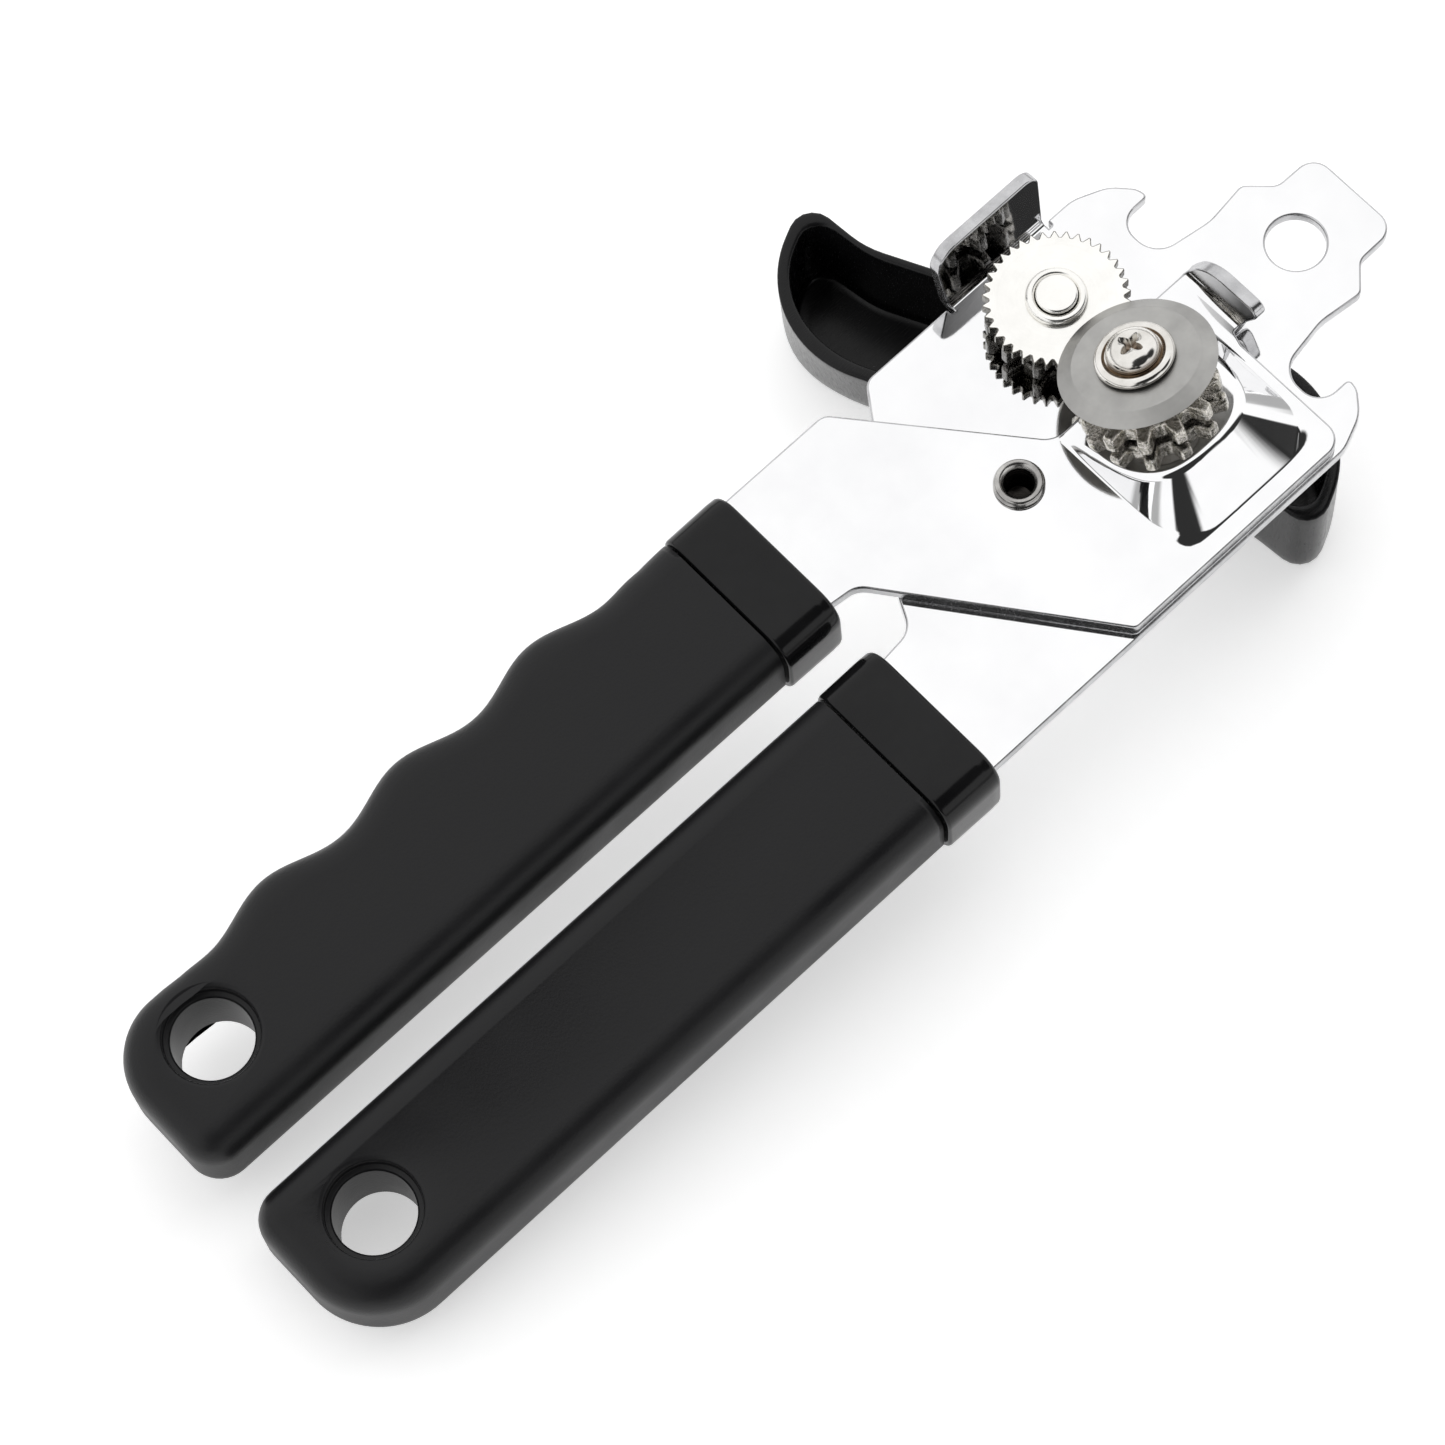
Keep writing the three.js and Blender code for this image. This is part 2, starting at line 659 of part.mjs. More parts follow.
const frontLever = new THREE.Group();
frontLever.add(
  piece("front_lever_plate", frontPlate(), "chrome"),
  piece("front_grip", frontGrip.body, "satin"),
  piece("front_grip_collar", frontGrip.collar, "gloss"),
  piece("cutter_post", onCutterAxis(cutterPost()), "nickel"),
  piece("cutter_seat_washer", onCutterAxis(seatWasher()), "zinc"),
  piece("cutter_gear", onCutterAxis(cutterGear()), "zinc"),
  piece("cutter_spacer", onCutterAxis(cutterSpacer()), "zinc"),
  piece("cutter_wheel", onCutterAxis(cutterWheel()), "cutter"),
  piece("cutter_washer", onCutterAxis(cutterWasher()), "nickel"),
  piece("cutter_screw", onCutterAxis(cutterScrew()), "nickel"),
);

const opener = new THREE.Group();
opener.add(backLever, drive, frontLever);

// ---- resting on a table ----
// The opener lies on the undersides of both key wings and on the end of the back grip.
function pointsOf(mesh, keep = () => true) {
  const { position } = mesh.geometry.attributes;
  const points = [];
  for (let i = 0; i < position.count; i++) {
    const point = new THREE.Vector3().fromBufferAttribute(position, i);
    if (keep(point)) points.push(point.applyMatrix4(mesh.matrixWorld));
  }
  return points;
}

opener.updateMatrixWorld(true);
const supports = [
  pointsOf(key, (p) => p.x > 0),
  pointsOf(key, (p) => p.x < 0),
  pointsOf(opener.getObjectByName("back_grip")),
];
const up = new THREE.Vector3(0, 0, 1);
const settlingTurns = 6;
for (let i = 0; i < settlingTurns; i++) {
  const lower = (a, b) => (b.dot(up) < a.dot(up) ? b : a);
  const [wingA, wingB, gripEnd] = supports.map((points) => points.reduce(lower));
  const across = wingB.clone().sub(wingA);
  up.crossVectors(across, gripEnd.clone().sub(wingA)).normalize();
  if (up.z < 0) up.negate();
}
opener.quaternion.setFromUnitVectors(up, new THREE.Vector3(0, 0, 1));
opener.updateMatrixWorld(true);
const bounds = new THREE.Box3().setFromObject(opener, true);
const middle = bounds.getCenter(new THREE.Vector3());
opener.position.set(-middle.x, -middle.y, -bounds.min.z);

export default opener;
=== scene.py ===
import json
import math

import bmesh
import bpy
from mathutils import Matrix, Quaternion, Vector
from mathutils.geometry import delaunay_2d_cdt


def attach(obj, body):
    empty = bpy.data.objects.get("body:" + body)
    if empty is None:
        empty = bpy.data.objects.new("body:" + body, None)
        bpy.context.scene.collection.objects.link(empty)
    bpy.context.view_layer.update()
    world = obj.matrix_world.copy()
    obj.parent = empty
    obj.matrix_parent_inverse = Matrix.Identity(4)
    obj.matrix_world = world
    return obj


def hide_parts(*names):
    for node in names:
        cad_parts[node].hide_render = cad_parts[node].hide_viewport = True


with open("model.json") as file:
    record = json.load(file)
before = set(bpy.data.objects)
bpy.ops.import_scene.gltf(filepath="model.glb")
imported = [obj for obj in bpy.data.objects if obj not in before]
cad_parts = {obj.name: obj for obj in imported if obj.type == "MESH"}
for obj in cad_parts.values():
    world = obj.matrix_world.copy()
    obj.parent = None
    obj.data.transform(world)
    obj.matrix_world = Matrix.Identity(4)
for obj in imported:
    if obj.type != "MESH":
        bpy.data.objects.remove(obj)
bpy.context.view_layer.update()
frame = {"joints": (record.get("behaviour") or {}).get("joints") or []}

# ---- the lever frame ----
# Every piece is drawn in millimetres in the levers' own frame: the rivet at x = y = 0, +X towards the
# tail, +Y towards the feed wheel and z = 0 on the back plate's top face. LEVER turns that into metres
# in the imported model's frame, from the joints.
MM = 0.001
JOINTS = {j["name"]: j for j in frame["joints"]}
DRIVE_X, DRIVE_Y = 20.3, 14.0


def lever_matrix():
    pivot = Vector(JOINTS["lever_pivot"]["pos_m"])
    drive = Vector(JOINTS["drive_spin"]["pos_m"])
    axis_z = Vector(JOINTS["drive_spin"]["axis"]).normalized()
    turn = Quaternion(axis_z, -math.atan2(DRIVE_Y, DRIVE_X))
    axis_x = turn @ (drive - pivot).normalized()
    axis_y = axis_z.cross(axis_x)
    turned = Matrix((axis_x, axis_y, axis_z)).transposed().to_4x4()
    return Matrix.Translation(pivot) @ turned @ Matrix.Scale(MM, 4)


LEVER = lever_matrix()
TILT = math.radians(20)
DRIVE = LEVER @ Matrix.Translation((DRIVE_X, DRIVE_Y, 0))
DISC_TOP = (19.7, -0.85, 12.0)
CUTTER = LEVER @ Matrix.Translation(DISC_TOP) @ Matrix.Rotation(-TILT, 4, "X")

# ---- sizes, in millimetres ----
SHEET = 1.8
FRONT_Z = 0.25
FRONT_TOP = FRONT_Z + SHEET
EDGE = 0.28  # rounding of the plates' sheared edges


# ---- plane figures ----
def rounded(corners, step=0.5):
    """A counter-clockwise outline through [x, y, radius] corners, each rounded by an arc."""
    points = []
    count = len(corners)
    for i, corner in enumerate(corners):
        at = Vector(corner[:2])
        radius = corner[2] if len(corner) > 2 else 0
        if not radius:
            points.append(at)
            continue
        back = (Vector(corners[i - 1][:2]) - at).normalized()
        ahead = (Vector(corners[(i + 1) % count][:2]) - at).normalized()
        half = math.acos(max(-1, min(1, back.dot(ahead)))) / 2
        centre = at + (back + ahead).normalized() * (radius / math.sin(half))
        start = at + back * (radius / math.tan(half)) - centre
        end = at + ahead * (radius / math.tan(half)) - centre
        sweep = start.angle_signed(end)
        steps = max(4, round(abs(sweep) * radius / step))
        for k in range(steps + 1):
            points.append(centre + Matrix.Rotation(-sweep * k / steps, 2) @ start)
    return points


def circle(radius, x=0, y=0, count=64):
    turn = 2 * math.pi / count
    return [
        Vector((x + radius * math.cos(i * turn), y + radius * math.sin(i * turn)))
        for i in range(count)
    ]


def area_of(loop):
    return sum(a.x * b.y - b.x * a.y for a, b in zip(loop, loop[1:] + loop[:1])) / 2


def inset(loop, distance):
    """A loop moved to the left of its direction: inwards if it runs counter-clockwise."""
    moved = []
    for i, at in enumerate(loop):
        into = (at - loop[i - 1]).normalized()
        out = (loop[(i + 1) % len(loop)] - at).normalized()
        left = Vector((-into.y - out.y, into.x + out.x))
        moved.append(at + left * (distance / max(0.3, 1 + into.dot(out))))
    return moved


def split_at(loop, axis, value, low, high):
    """Adds a point wherever the loop crosses axis = value, between low and high on the other axis."""
    made = []
    for i, b in enumerate(loop):
        a = loop[i - 1]
        if (a[axis] - value) * (b[axis] - value) < 0:
            cross = a.lerp(b, (value - a[axis]) / (b[axis] - a[axis]))
            if low < cross[1 - axis] < high:
                made.append(cross)
        made.append(b)
    return made


def inside(point, loop):
    odd = False
    for a, b in zip(loop, loop[1:] + loop[:1]):
        if (a.y > point.y) != (b.y > point.y):
            if point.x < a.x + (point.y - a.y) * (b.x - a.x) / (b.y - a.y):
                odd = not odd
    return odd


# ---- solids ----
def mesh_object(name, points, faces, matrix=LEVER, caps=None):
    """A closed smooth-shaded mesh from points in the frame of matrix, turned to face outwards. caps is
    how many faces, counted from the first, are a slab's flat ones; the rest take the second material."""
    mesh = bpy.data.meshes.new(name)
    mesh.from_pydata([matrix @ Vector(p) for p in points], [], faces)
    if caps is not None:
        for face in mesh.polygons[caps:]:
            face.material_index = 1
    made = bmesh.new()
    made.from_mesh(mesh)
    bmesh.ops.remove_doubles(made, verts=made.verts, dist=2e-7)
    bmesh.ops.dissolve_degenerate(made, edges=made.edges, dist=1e-7)
    bmesh.ops.recalc_face_normals(made, faces=made.faces)
    made.to_mesh(mesh)
    made.free()
    mesh.shade_smooth()
    piece = bpy.data.objects.new(name, mesh)
    bpy.context.scene.collection.objects.link(piece)
    if caps is not None:
        shade_flats(mesh)
        return piece
    weighted = piece.modifiers.new("weighted", "WEIGHTED_NORMAL")
    weighted.mode = "FACE_AREA"
    weighted.weight = 100
    weighted.keep_sharp = True
    return piece


def shade_flats(mesh, least=8e-6):
    """Shades every flat area of at least this many square metres truly flat, and blends the narrow
    faces between them."""
    share = {}
    keys = [tuple(round(c, 2) for c in face.normal) for face in mesh.polygons]
    for key, face in zip(keys, mesh.polygons):
        share[key] = share.get(key, 0.0) + face.area
    flat = [share[key] > least for key in keys]
    sums = [Vector() for _ in mesh.vertices]
    flats = [[] for _ in mesh.vertices]
    for face, is_flat in zip(mesh.polygons, flat):
        for v in face.vertices:
            sums[v] += face.normal * face.area
            if is_flat:
                flats[v].append(face.normal)
    normals = []
    for face, is_flat in zip(mesh.polygons, flat):
        for v in face.vertices:
            near = [n for n in flats[v] if n.dot(face.normal) > 0.75]
            if is_flat:
                normals.append(face.normal.copy())
            elif near:
                normals.append(max(near, key=face.normal.dot).copy())
            else:
                normals.append(sums[v].normalized())
    mesh.normals_split_custom_set(normals)


def slab(outer, holes, bottom, top, edge, lines=(), bend=None, links=(), steps=3):
    """Points and faces of a flat solid with rounded edges. lines are extra (x, y, lift) rows on both
    faces, links are (axis, value, low, high) rows joining outline points, and bend maps each point."""
    loops = [outer] + [h if area_of(h) < 0 else h[::-1] for h in holes]
    inner = [inset(loop, edge) for loop in loops]
    flat = [p for loop in inner for p in loop]
    lifts = [0.0] * len(flat)
    edges = []
    start = 0
    for loop in inner:
        count = len(loop)
        edges += [(start + i, start + (i + 1) % count) for i in range(count)]
        start += count
    for axis, value, low, high in links:
        on = [i for i, p in enumerate(flat) if abs(p[axis] - value) < 0.05 and low < p[1 - axis] < high]
        on.sort(key=lambda i: flat[i][1 - axis])
        edges += list(zip(on[0::2], on[1::2]))
    for row in lines:
        edges += [(len(flat) + i, len(flat) + i + 1) for i in range(len(row) - 1)]
        flat += [Vector(p[:2]) for p in row]
        lifts += [p[2] for p in row]
    plan, _, triangles, origins, _, _ = delaunay_2d_cdt(flat, edges, [], 0, 1e-5, True)
    lift = [max((lifts[o] for o in own), default=0.0) for own in origins]
    new_of = {o: n for n, own in enumerate(origins) for o in own}
    kept = []
    for tri in triangles:
        middle = sum((plan[i] for i in tri), Vector((0, 0))) / 3
        if inside(middle, inner[0]) and not any(inside(middle, hole) for hole in inner[1:]):
            kept.append(tuple(tri))
    count = len(plan)
    points = [(p.x, p.y, top + z) for p, z in zip(plan, lift)]
    points += [(p.x, p.y, bottom + z) for p, z in zip(plan, lift)]
    faces = kept + [tuple(i + count for i in reversed(tri)) for tri in kept]
    arcs = [math.pi / 2 * k / steps for k in range(1, steps + 1)]
    first = 0
    for loop, small in zip(loops, inner):
        ids = [new_of[first + i] for i in range(len(loop))]
        first += len(loop)
        levels = [(math.sin(a), top - edge * (1 - math.cos(a))) for a in arcs]
        levels += [(math.sin(a), bottom + edge * (1 - math.cos(a))) for a in reversed(arcs)]
        above = ids
        for reach, z in levels:
            row = list(range(len(points), len(points) + len(loop)))
            for a, b in zip(small, loop):
                p = a.lerp(b, reach)
                points.append((p.x, p.y, z))
            faces += strip(above, row)
            above = row
        faces += strip(above, [i + count for i in ids])
    if bend:
        points = [bend(Vector(p)) for p in points]
    return points, faces, 2 * len(kept)


def strip(a, b):
    count = len(a)
    return [(a[i], a[(i + 1) % count], b[(i + 1) % count], b[i]) for i in range(count)]


def merged(*parts):
    points, faces = [], []
    for more_points, more_faces in parts:
        faces += [tuple(i + len(points) for i in f) for f in more_faces]
        points += list(more_points)
    return points, faces


def softened(profile, radius, steps=3):
    """A [radius, z] profile whose corners are rounded; a corner with a third entry keeps its own."""
    made = []
    count = len(profile)
    for i, corner in enumerate(profile):
        at = Vector(corner[:2])
        own = corner[2] if len(corner) > 2 else radius
        back = Vector(profile[i - 1][:2]) - at
        ahead = Vector(profile[(i + 1) % count][:2]) - at
        own = min(own, 0.45 * back.length, 0.45 * ahead.length)
        if own <= 0 or at.x <= 1e-6:
            made.append(at)
            continue
        a = at + back.normalized() * own
        b = at + ahead.normalized() * own
        for k in range(steps + 1):
            t = k / steps
            made.append(a.lerp(at, t).lerp(at.lerp(b, t), t))
    return made


def turned(profile, soft=0.12, segments=96):
    """A closed solid of revolution about z from a closed [radius, z] profile."""
    outline = softened(profile, soft)
    points, faces = [], []
    for i in range(segments):
        angle = 2 * math.pi * i / segments
        points += [(p.x * math.cos(angle), p.x * math.sin(angle), p.y) for p in outline]
    rows = len(outline)
    for i in range(segments):
        j = (i + 1) % segments
        for k in range(rows):
            n = (k + 1) % rows
            if outline[k].x < 1e-6 and outline[n].x < 1e-6:
                continue
            faces.append((i * rows + k, j * rows + k, j * rows + n, i * rows + n))
    return points, faces


def ring(inner, outer, bottom, top):
    return turned([(inner, bottom), (outer, bottom), (outer, top), (inner, top)])


def loft(rings):
    """A solid through rings of points, closed by its first and last ring."""
    points = [p for r in rings for p in r]
    count = len(rings[0])
    faces = []
    for k in range(len(rings) - 1):
        faces += strip(range(k * count, (k + 1) * count), range((k + 1) * count, (k + 2) * count))
    faces.append(tuple(reversed(range(count))))
    faces.append(tuple(range(len(points) - count, len(points))))
    return points, faces


# ---- materials ----
MIX_A, MIX_B, MIX_RESULT = 6, 7, 2  # a colour Mix node's sockets


class Look:
    """A node material whose nodes all read the piece's own coordinates, in metres."""

    def __init__(self, name, color, metallic, roughness, **sockets):
        self.material = bpy.data.materials.new(name)
        self.material.use_nodes = True
        self.tree = self.material.node_tree
        self.shader = self.tree.nodes["Principled BSDF"]
        self.shader.inputs["Base Color"].default_value = (*color, 1)
        self.shader.inputs["Metallic"].default_value = metallic
        self.shader.inputs["Roughness"].default_value = roughness
        for socket, value in sockets.items():
            self.shader.inputs[socket.replace("_", " ")].default_value = value
        self.place = self.tree.nodes.new("ShaderNodeTexCoord").outputs["Object"]

    def node(self, kind, **values):
        made = self.tree.nodes.new(kind)
        for key, value in values.items():
            setattr(made, key, value)
        return made

    def link(self, source, target):
        self.tree.links.new(source, target)

    def axes(self, matrix, stretch=(1, 1, 1)):
        """The piece's coordinates seen from another frame, in its millimetres, then stretched."""
        inverse = matrix.inverted()
        rows = []
        for i in range(3):
            dot = self.node("ShaderNodeVectorMath", operation="DOT_PRODUCT")
            self.link(self.place, dot.inputs[0])
            dot.inputs[1].default_value = inverse[i][:3]
            add = self.node("ShaderNodeMath", operation="MULTIPLY_ADD")
            self.link(dot.outputs["Value"], add.inputs[0])
            add.inputs[1].default_value = stretch[i]
            add.inputs[2].default_value = inverse[i][3] * stretch[i]
            rows.append(add.outputs[0])
        joined = self.node("ShaderNodeCombineXYZ")
        for i, row in enumerate(rows):
            self.link(row, joined.inputs[i])
        return joined.outputs[0]

    def noise(self, vector, scale, detail=3.0, roughness=0.5, distortion=0.0):
        made = self.node("ShaderNodeTexNoise")
        self.link(vector, made.inputs["Vector"])
        made.inputs["Scale"].default_value = scale
        made.inputs["Detail"].default_value = detail
        made.inputs["Roughness"].default_value = roughness
        made.inputs["Distortion"].default_value = distortion
        return made.outputs["Fac"]

    def ramp(self, value, stops):
        made = self.node("ShaderNodeValToRGB")
        self.link(value, made.inputs["Fac"])
        elements = made.color_ramp.elements
        while len(elements) < len(stops):
            elements.new(0.5)
        for element, (at, color) in zip(elements, stops):
            element.position = at
            element.color = (*color, 1) if len(color) == 3 else color
        return made.outputs["Color"]

    def spread(self, value, low, high, from_low=0.3, from_high=0.7):
        made = self.node("ShaderNodeMapRange")
        self.link(value, made.inputs["Value"])
        made.inputs["From Min"].default_value = from_low
        made.inputs["From Max"].default_value = from_high
        made.inputs["To Min"].default_value = low
        made.inputs["To Max"].default_value = high
        return made.outputs["Result"]

    def bump(self, *layers):
        """Adds (height, distance in metres, strength) layers of relief."""
        normal = None
        for height, distance, strength in layers:
            made = self.node("ShaderNodeBump")
            made.inputs["Distance"].default_value = distance
            made.inputs["Strength"].default_value = strength
            self.link(height, made.inputs["Height"])
            if normal:
                self.link(normal, made.inputs["Normal"])
            normal = made.outputs["Normal"]
        self.link(normal, self.shader.inputs["Normal"])

    def paint(self, socket, value):
        self.link(value, self.shader.inputs[socket])


# The painted shade and painted reflection on the guard tab, in the lever frame, where the plate is also
# rougher: it fades in over these spans of x and z, and its painted grey changes over a span of y.
TAB_X, TAB_Z, TAB_Y = (35.3, 36.0), (2.6, 4.0), (-4.0, 5.0)
PAINTED_TAB_SHADES = [(0.05, 0.05), (0.4, 0.5), (1.0, 0.75)]
TAB_BLUR = 0.28


def chrome_look():
    """Bright plated sheet: slight waviness from the press, faint rubbing marks and smudges, and on the
    guard tab a rougher patch painted grey, a painted shade and painted reflection."""
    look = Look("chrome_plate", (0.9, 0.905, 0.91), 1.0, 0.05)
    waves = look.noise(look.place, 90, 2)
    smudge = look.noise(look.place, 55, 4, 0.6)
    rubbed = look.noise(look.axes(LEVER, (0.25, 3.0, 1.0)), 2.2, 3, 0.6)
    split = look.node("ShaderNodeSeparateXYZ")
    look.link(look.axes(LEVER), split.inputs[0])
    # The guard tab's painted shade: a mask over x and z, then painted greys from near black to light
    # grey along y.
    painted_tab_mask = look.node("ShaderNodeMath", operation="MULTIPLY")
    look.link(look.spread(split.outputs["X"], 0, 1, *TAB_X), painted_tab_mask.inputs[0])
    look.link(look.spread(split.outputs["Z"], 0, 1, *TAB_Z), painted_tab_mask.inputs[1])
    painted_shade = look.node("ShaderNodeMix", data_type="RGBA")
    look.link(painted_tab_mask.outputs[0], painted_shade.inputs["Factor"])
    plated = look.ramp(smudge, [(0.3, (0.87, 0.87, 0.88)), (0.6, (0.93, 0.93, 0.935))])
    look.link(plated, painted_shade.inputs[MIX_A])
    along = look.spread(split.outputs["Y"], 0, 1, *TAB_Y)
    look.link(look.ramp(along, [(at, (grey,) * 3) for at, grey in PAINTED_TAB_SHADES]), painted_shade.inputs[MIX_B])
    look.paint("Base Color", painted_shade.outputs[MIX_RESULT])
    blur = look.node("ShaderNodeMath", operation="MULTIPLY_ADD")
    look.link(painted_tab_mask.outputs[0], blur.inputs[0])
    blur.inputs[1].default_value = TAB_BLUR
    look.link(look.spread(smudge, 0.03, 0.075), blur.inputs[2])
    look.paint("Roughness", blur.outputs[0])
    look.bump((waves, 0.0002, 0.06), (rubbed, 0.00001, 0.08))
    return look.material


def metal_look(name, dark, light, rough, grain=2.0):
    """Turned or rolled steel with a fine directional grain and uneven sheen."""
    look = Look(name, light, 1.0, rough[0])
    fine = look.noise(look.axes(LEVER), grain, 4, 0.65)
    broad = look.noise(look.place, 260, 3, 0.6)
    look.paint("Base Color", look.ramp(broad, [(0.3, dark), (0.65, light)]))
    look.paint("Roughness", look.spread(fine, *rough))
    look.bump((fine, 0.00002, 0.35), (broad, 0.00003, 0.2))
    return look.material


def turned_look(name, dark, light, rough, axes, pitch=7.0, oil_and_painted_shade=None):
    """Steel cut on a lathe: rings of fine tool marks about an axis. A painted shade (low, high, color)
    darkens everything below a height along the axis: painted shade in hollows and under parts, and oil."""
    look = Look(name, light, 1.0, rough[0])
    local = look.axes(axes)
    split = look.node("ShaderNodeSeparateXYZ")
    look.link(local, split.inputs[0])
    flat = look.node("ShaderNodeCombineXYZ")
    look.link(split.outputs["X"], flat.inputs["X"])
    look.link(split.outputs["Y"], flat.inputs["Y"])
    length = look.node("ShaderNodeVectorMath", operation="LENGTH")
    look.link(flat.outputs[0], length.inputs[0])
    radial = look.node("ShaderNodeCombineXYZ")
    look.link(length.outputs["Value"], radial.inputs["X"])
    look.link(split.outputs["Z"], radial.inputs["Y"])
    rings = look.noise(radial.outputs[0], pitch, 4, 0.7)
    broad = look.noise(look.place, 230, 3, 0.6)
    color = look.ramp(broad, [(0.3, dark), (0.65, light)])
    # Painted shade, and oil: below a height along the axis the colour gives way to a dark one.
    if oil_and_painted_shade:
        mix = look.node("ShaderNodeMix", data_type="RGBA")
        look.link(look.spread(split.outputs["Z"], 0, 1, oil_and_painted_shade[0], oil_and_painted_shade[1]), mix.inputs["Factor"])
        mix.inputs[MIX_A].default_value = (*oil_and_painted_shade[2], 1)
        look.link(color, mix.inputs[MIX_B])
        color = mix.outputs[MIX_RESULT]
    look.paint("Base Color", color)
    look.paint("Roughness", look.spread(rings, *rough))
    look.bump((rings, 0.00001, 0.4), (broad, 0.00002, 0.15))
    return look.material


def gear_look(name, axes, painted_shade):
    """Pressed gears still wet with assembly oil: dark, silvery and warm patches side by side. A painted
    shade factor dims the whole colour.
    """
    look = Look(name, (0.3, 0.29, 0.26), 1.0, 0.25, Coat_Weight=0.35, Coat_Roughness=0.08)
    local = look.axes(axes)
    patch = look.noise(local, 0.5, 4, 0.6, 1.2)
    stops = [
        (0.32, (0.06, 0.057, 0.045)),
        (0.42, (0.42, 0.40, 0.34)),
        (0.50, (0.86, 0.82, 0.77)),
        (0.60, (0.45, 0.43, 0.36)),
        (0.70, (0.92, 0.91, 0.88)),
    ]
    # Painted shade: every colour stop is dimmed by the factor, for a gear lying in shade.
    painted_stops = [(at, tuple(painted_shade * c for c in color)) for at, color in stops]
    look.paint("Base Color", look.ramp(patch, painted_stops))
    pits = look.noise(local, 1.6, 5, 0.7)
    look.paint("Roughness", look.spread(pits, 0.08, 0.34))
    look.bump((pits, 0.0002, 0.5), (patch, 0.0006, 0.5))
    return look.material


def satin_look():
    """Charcoal moulded plastic with a fine spark-eroded grain, rubbed smoother here and there."""
    look = Look("satin_plastic", (0.009, 0.009, 0.01), 0.0, 0.45, Specular_IOR_Level=0.3)
    local = look.axes(LEVER)
    grain = look.noise(local, 3.2, 2, 0.6)
    pores = look.node("ShaderNodeTexVoronoi")
    look.link(local, pores.inputs["Vector"])
    pores.inputs["Scale"].default_value = 2.4
    worn = look.noise(local, 0.06, 3, 0.55)
    charcoal = look.ramp(worn, [(0.3, (0.007, 0.007, 0.008)), (0.7, (0.012, 0.012, 0.013))])
    look.paint("Base Color", charcoal)
    look.paint("Roughness", look.spread(worn, 0.36, 0.5))
    look.bump((grain, 0.00006, 0.3), (pores.outputs["Distance"], 0.00004, 0.25))
    return look.material


def gloss_look(name, rough):
    """Black polished plastic with hairline scratches and a trace of orange peel."""
    look = Look(name, (0.006, 0.006, 0.0065), 0.0, rough[0], Specular_IOR_Level=0.24)
    peel = look.noise(look.place, 700, 2)
    hair = look.noise(look.axes(LEVER, (0.35, 5.0, 0.35)), 1.3, 5, 0.7)
    worn = look.noise(look.place, 120, 3, 0.6)
    black = look.ramp(worn, [(0.3, (0.0045, 0.0045, 0.005)), (0.7, (0.010, 0.010, 0.0105))])
    look.paint("Base Color", black)
    look.paint("Roughness", look.spread(hair, *rough))
    look.bump((peel, 0.00003, 0.12), (hair, 0.00001, 0.12))
    return look.material


CHROME = chrome_look()
SHEARED = metal_look("sheared_edge", (0.42, 0.42, 0.43), (0.6, 0.6, 0.61), (0.14, 0.3), 3.0)
PLAIN_STEEL = metal_look("plain_steel", (0.28, 0.27, 0.25), (0.48, 0.46, 0.43), (0.25, 0.45))
# Painted shade below a height: the feed wheel darkens towards its underside over the drive gear, and the
# axle below it does too; the rivet darkens down its bore; the screw head turns brown in its recess,
# painted shade with oil.
NICKEL_WHEEL = turned_look(
    "bright_nickel", (0.90, 0.89, 0.86), (0.97, 0.96, 0.93), (0.14, 0.26), DRIVE,
    oil_and_painted_shade=(5.0, 6.2, (0.05, 0.048, 0.04)),
)
NICKEL_PIVOT = turned_look(
    "rivet_nickel", (0.25, 0.24, 0.235), (0.62, 0.61, 0.59), (0.12, 0.34), LEVER,
    oil_and_painted_shade=(0.6, 2.6, (0.03, 0.027, 0.025)),
)
NICKEL_SCREW = turned_look("screw_nickel", (0.62, 0.60, 0.56), (0.86, 0.84, 0.81), (0.08, 0.2), CUTTER)
NICKEL_HEAD = turned_look(
    "screw_head", (0.66, 0.64, 0.60), (0.88, 0.86, 0.83), (0.07, 0.18), CUTTER,
    oil_and_painted_shade=(1.35, 2.5, (0.16, 0.11, 0.07)),
)
CUTTER_STEEL = turned_look(
    "cutter_steel", (0.37, 0.365, 0.355), (0.45, 0.445, 0.43), (0.3, 0.42), CUTTER, 5.0
)
# One gear steel in three painted shades: the drive gear, in shade under the feed wheel between the
# plates, at a fifth of its colour, the feed wheel's tooth sides at under half, the cutter gear nearly
# full.
DRIVE_GEAR_STEEL = gear_look("drive_gear_steel", DRIVE, 0.2)
TOOTH_STEEL = gear_look("wheel_tooth_steel", DRIVE, 0.45)
CUTTER_GEAR_STEEL = gear_look("cutter_gear_steel", CUTTER, 0.95)
SATIN = satin_look()
GLOSS = gloss_look("gloss_plastic", (0.08, 0.2))
KEY_PLASTIC = gloss_look("key_plastic", (0.16, 0.32))


def place(name, solid, material, body, node, slot, matrix=LEVER, edge=None):
    """Adds a piece; faces past solid[2], a slab's flat ones, take the edge material if one is given."""
    piece = mesh_object(name, *solid[:2], matrix, solid[2] if edge else None)
    piece.data.materials.append(material)
    if edge:
        piece.data.materials.append(edge)
    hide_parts(node)
    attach(piece, body)
    return piece


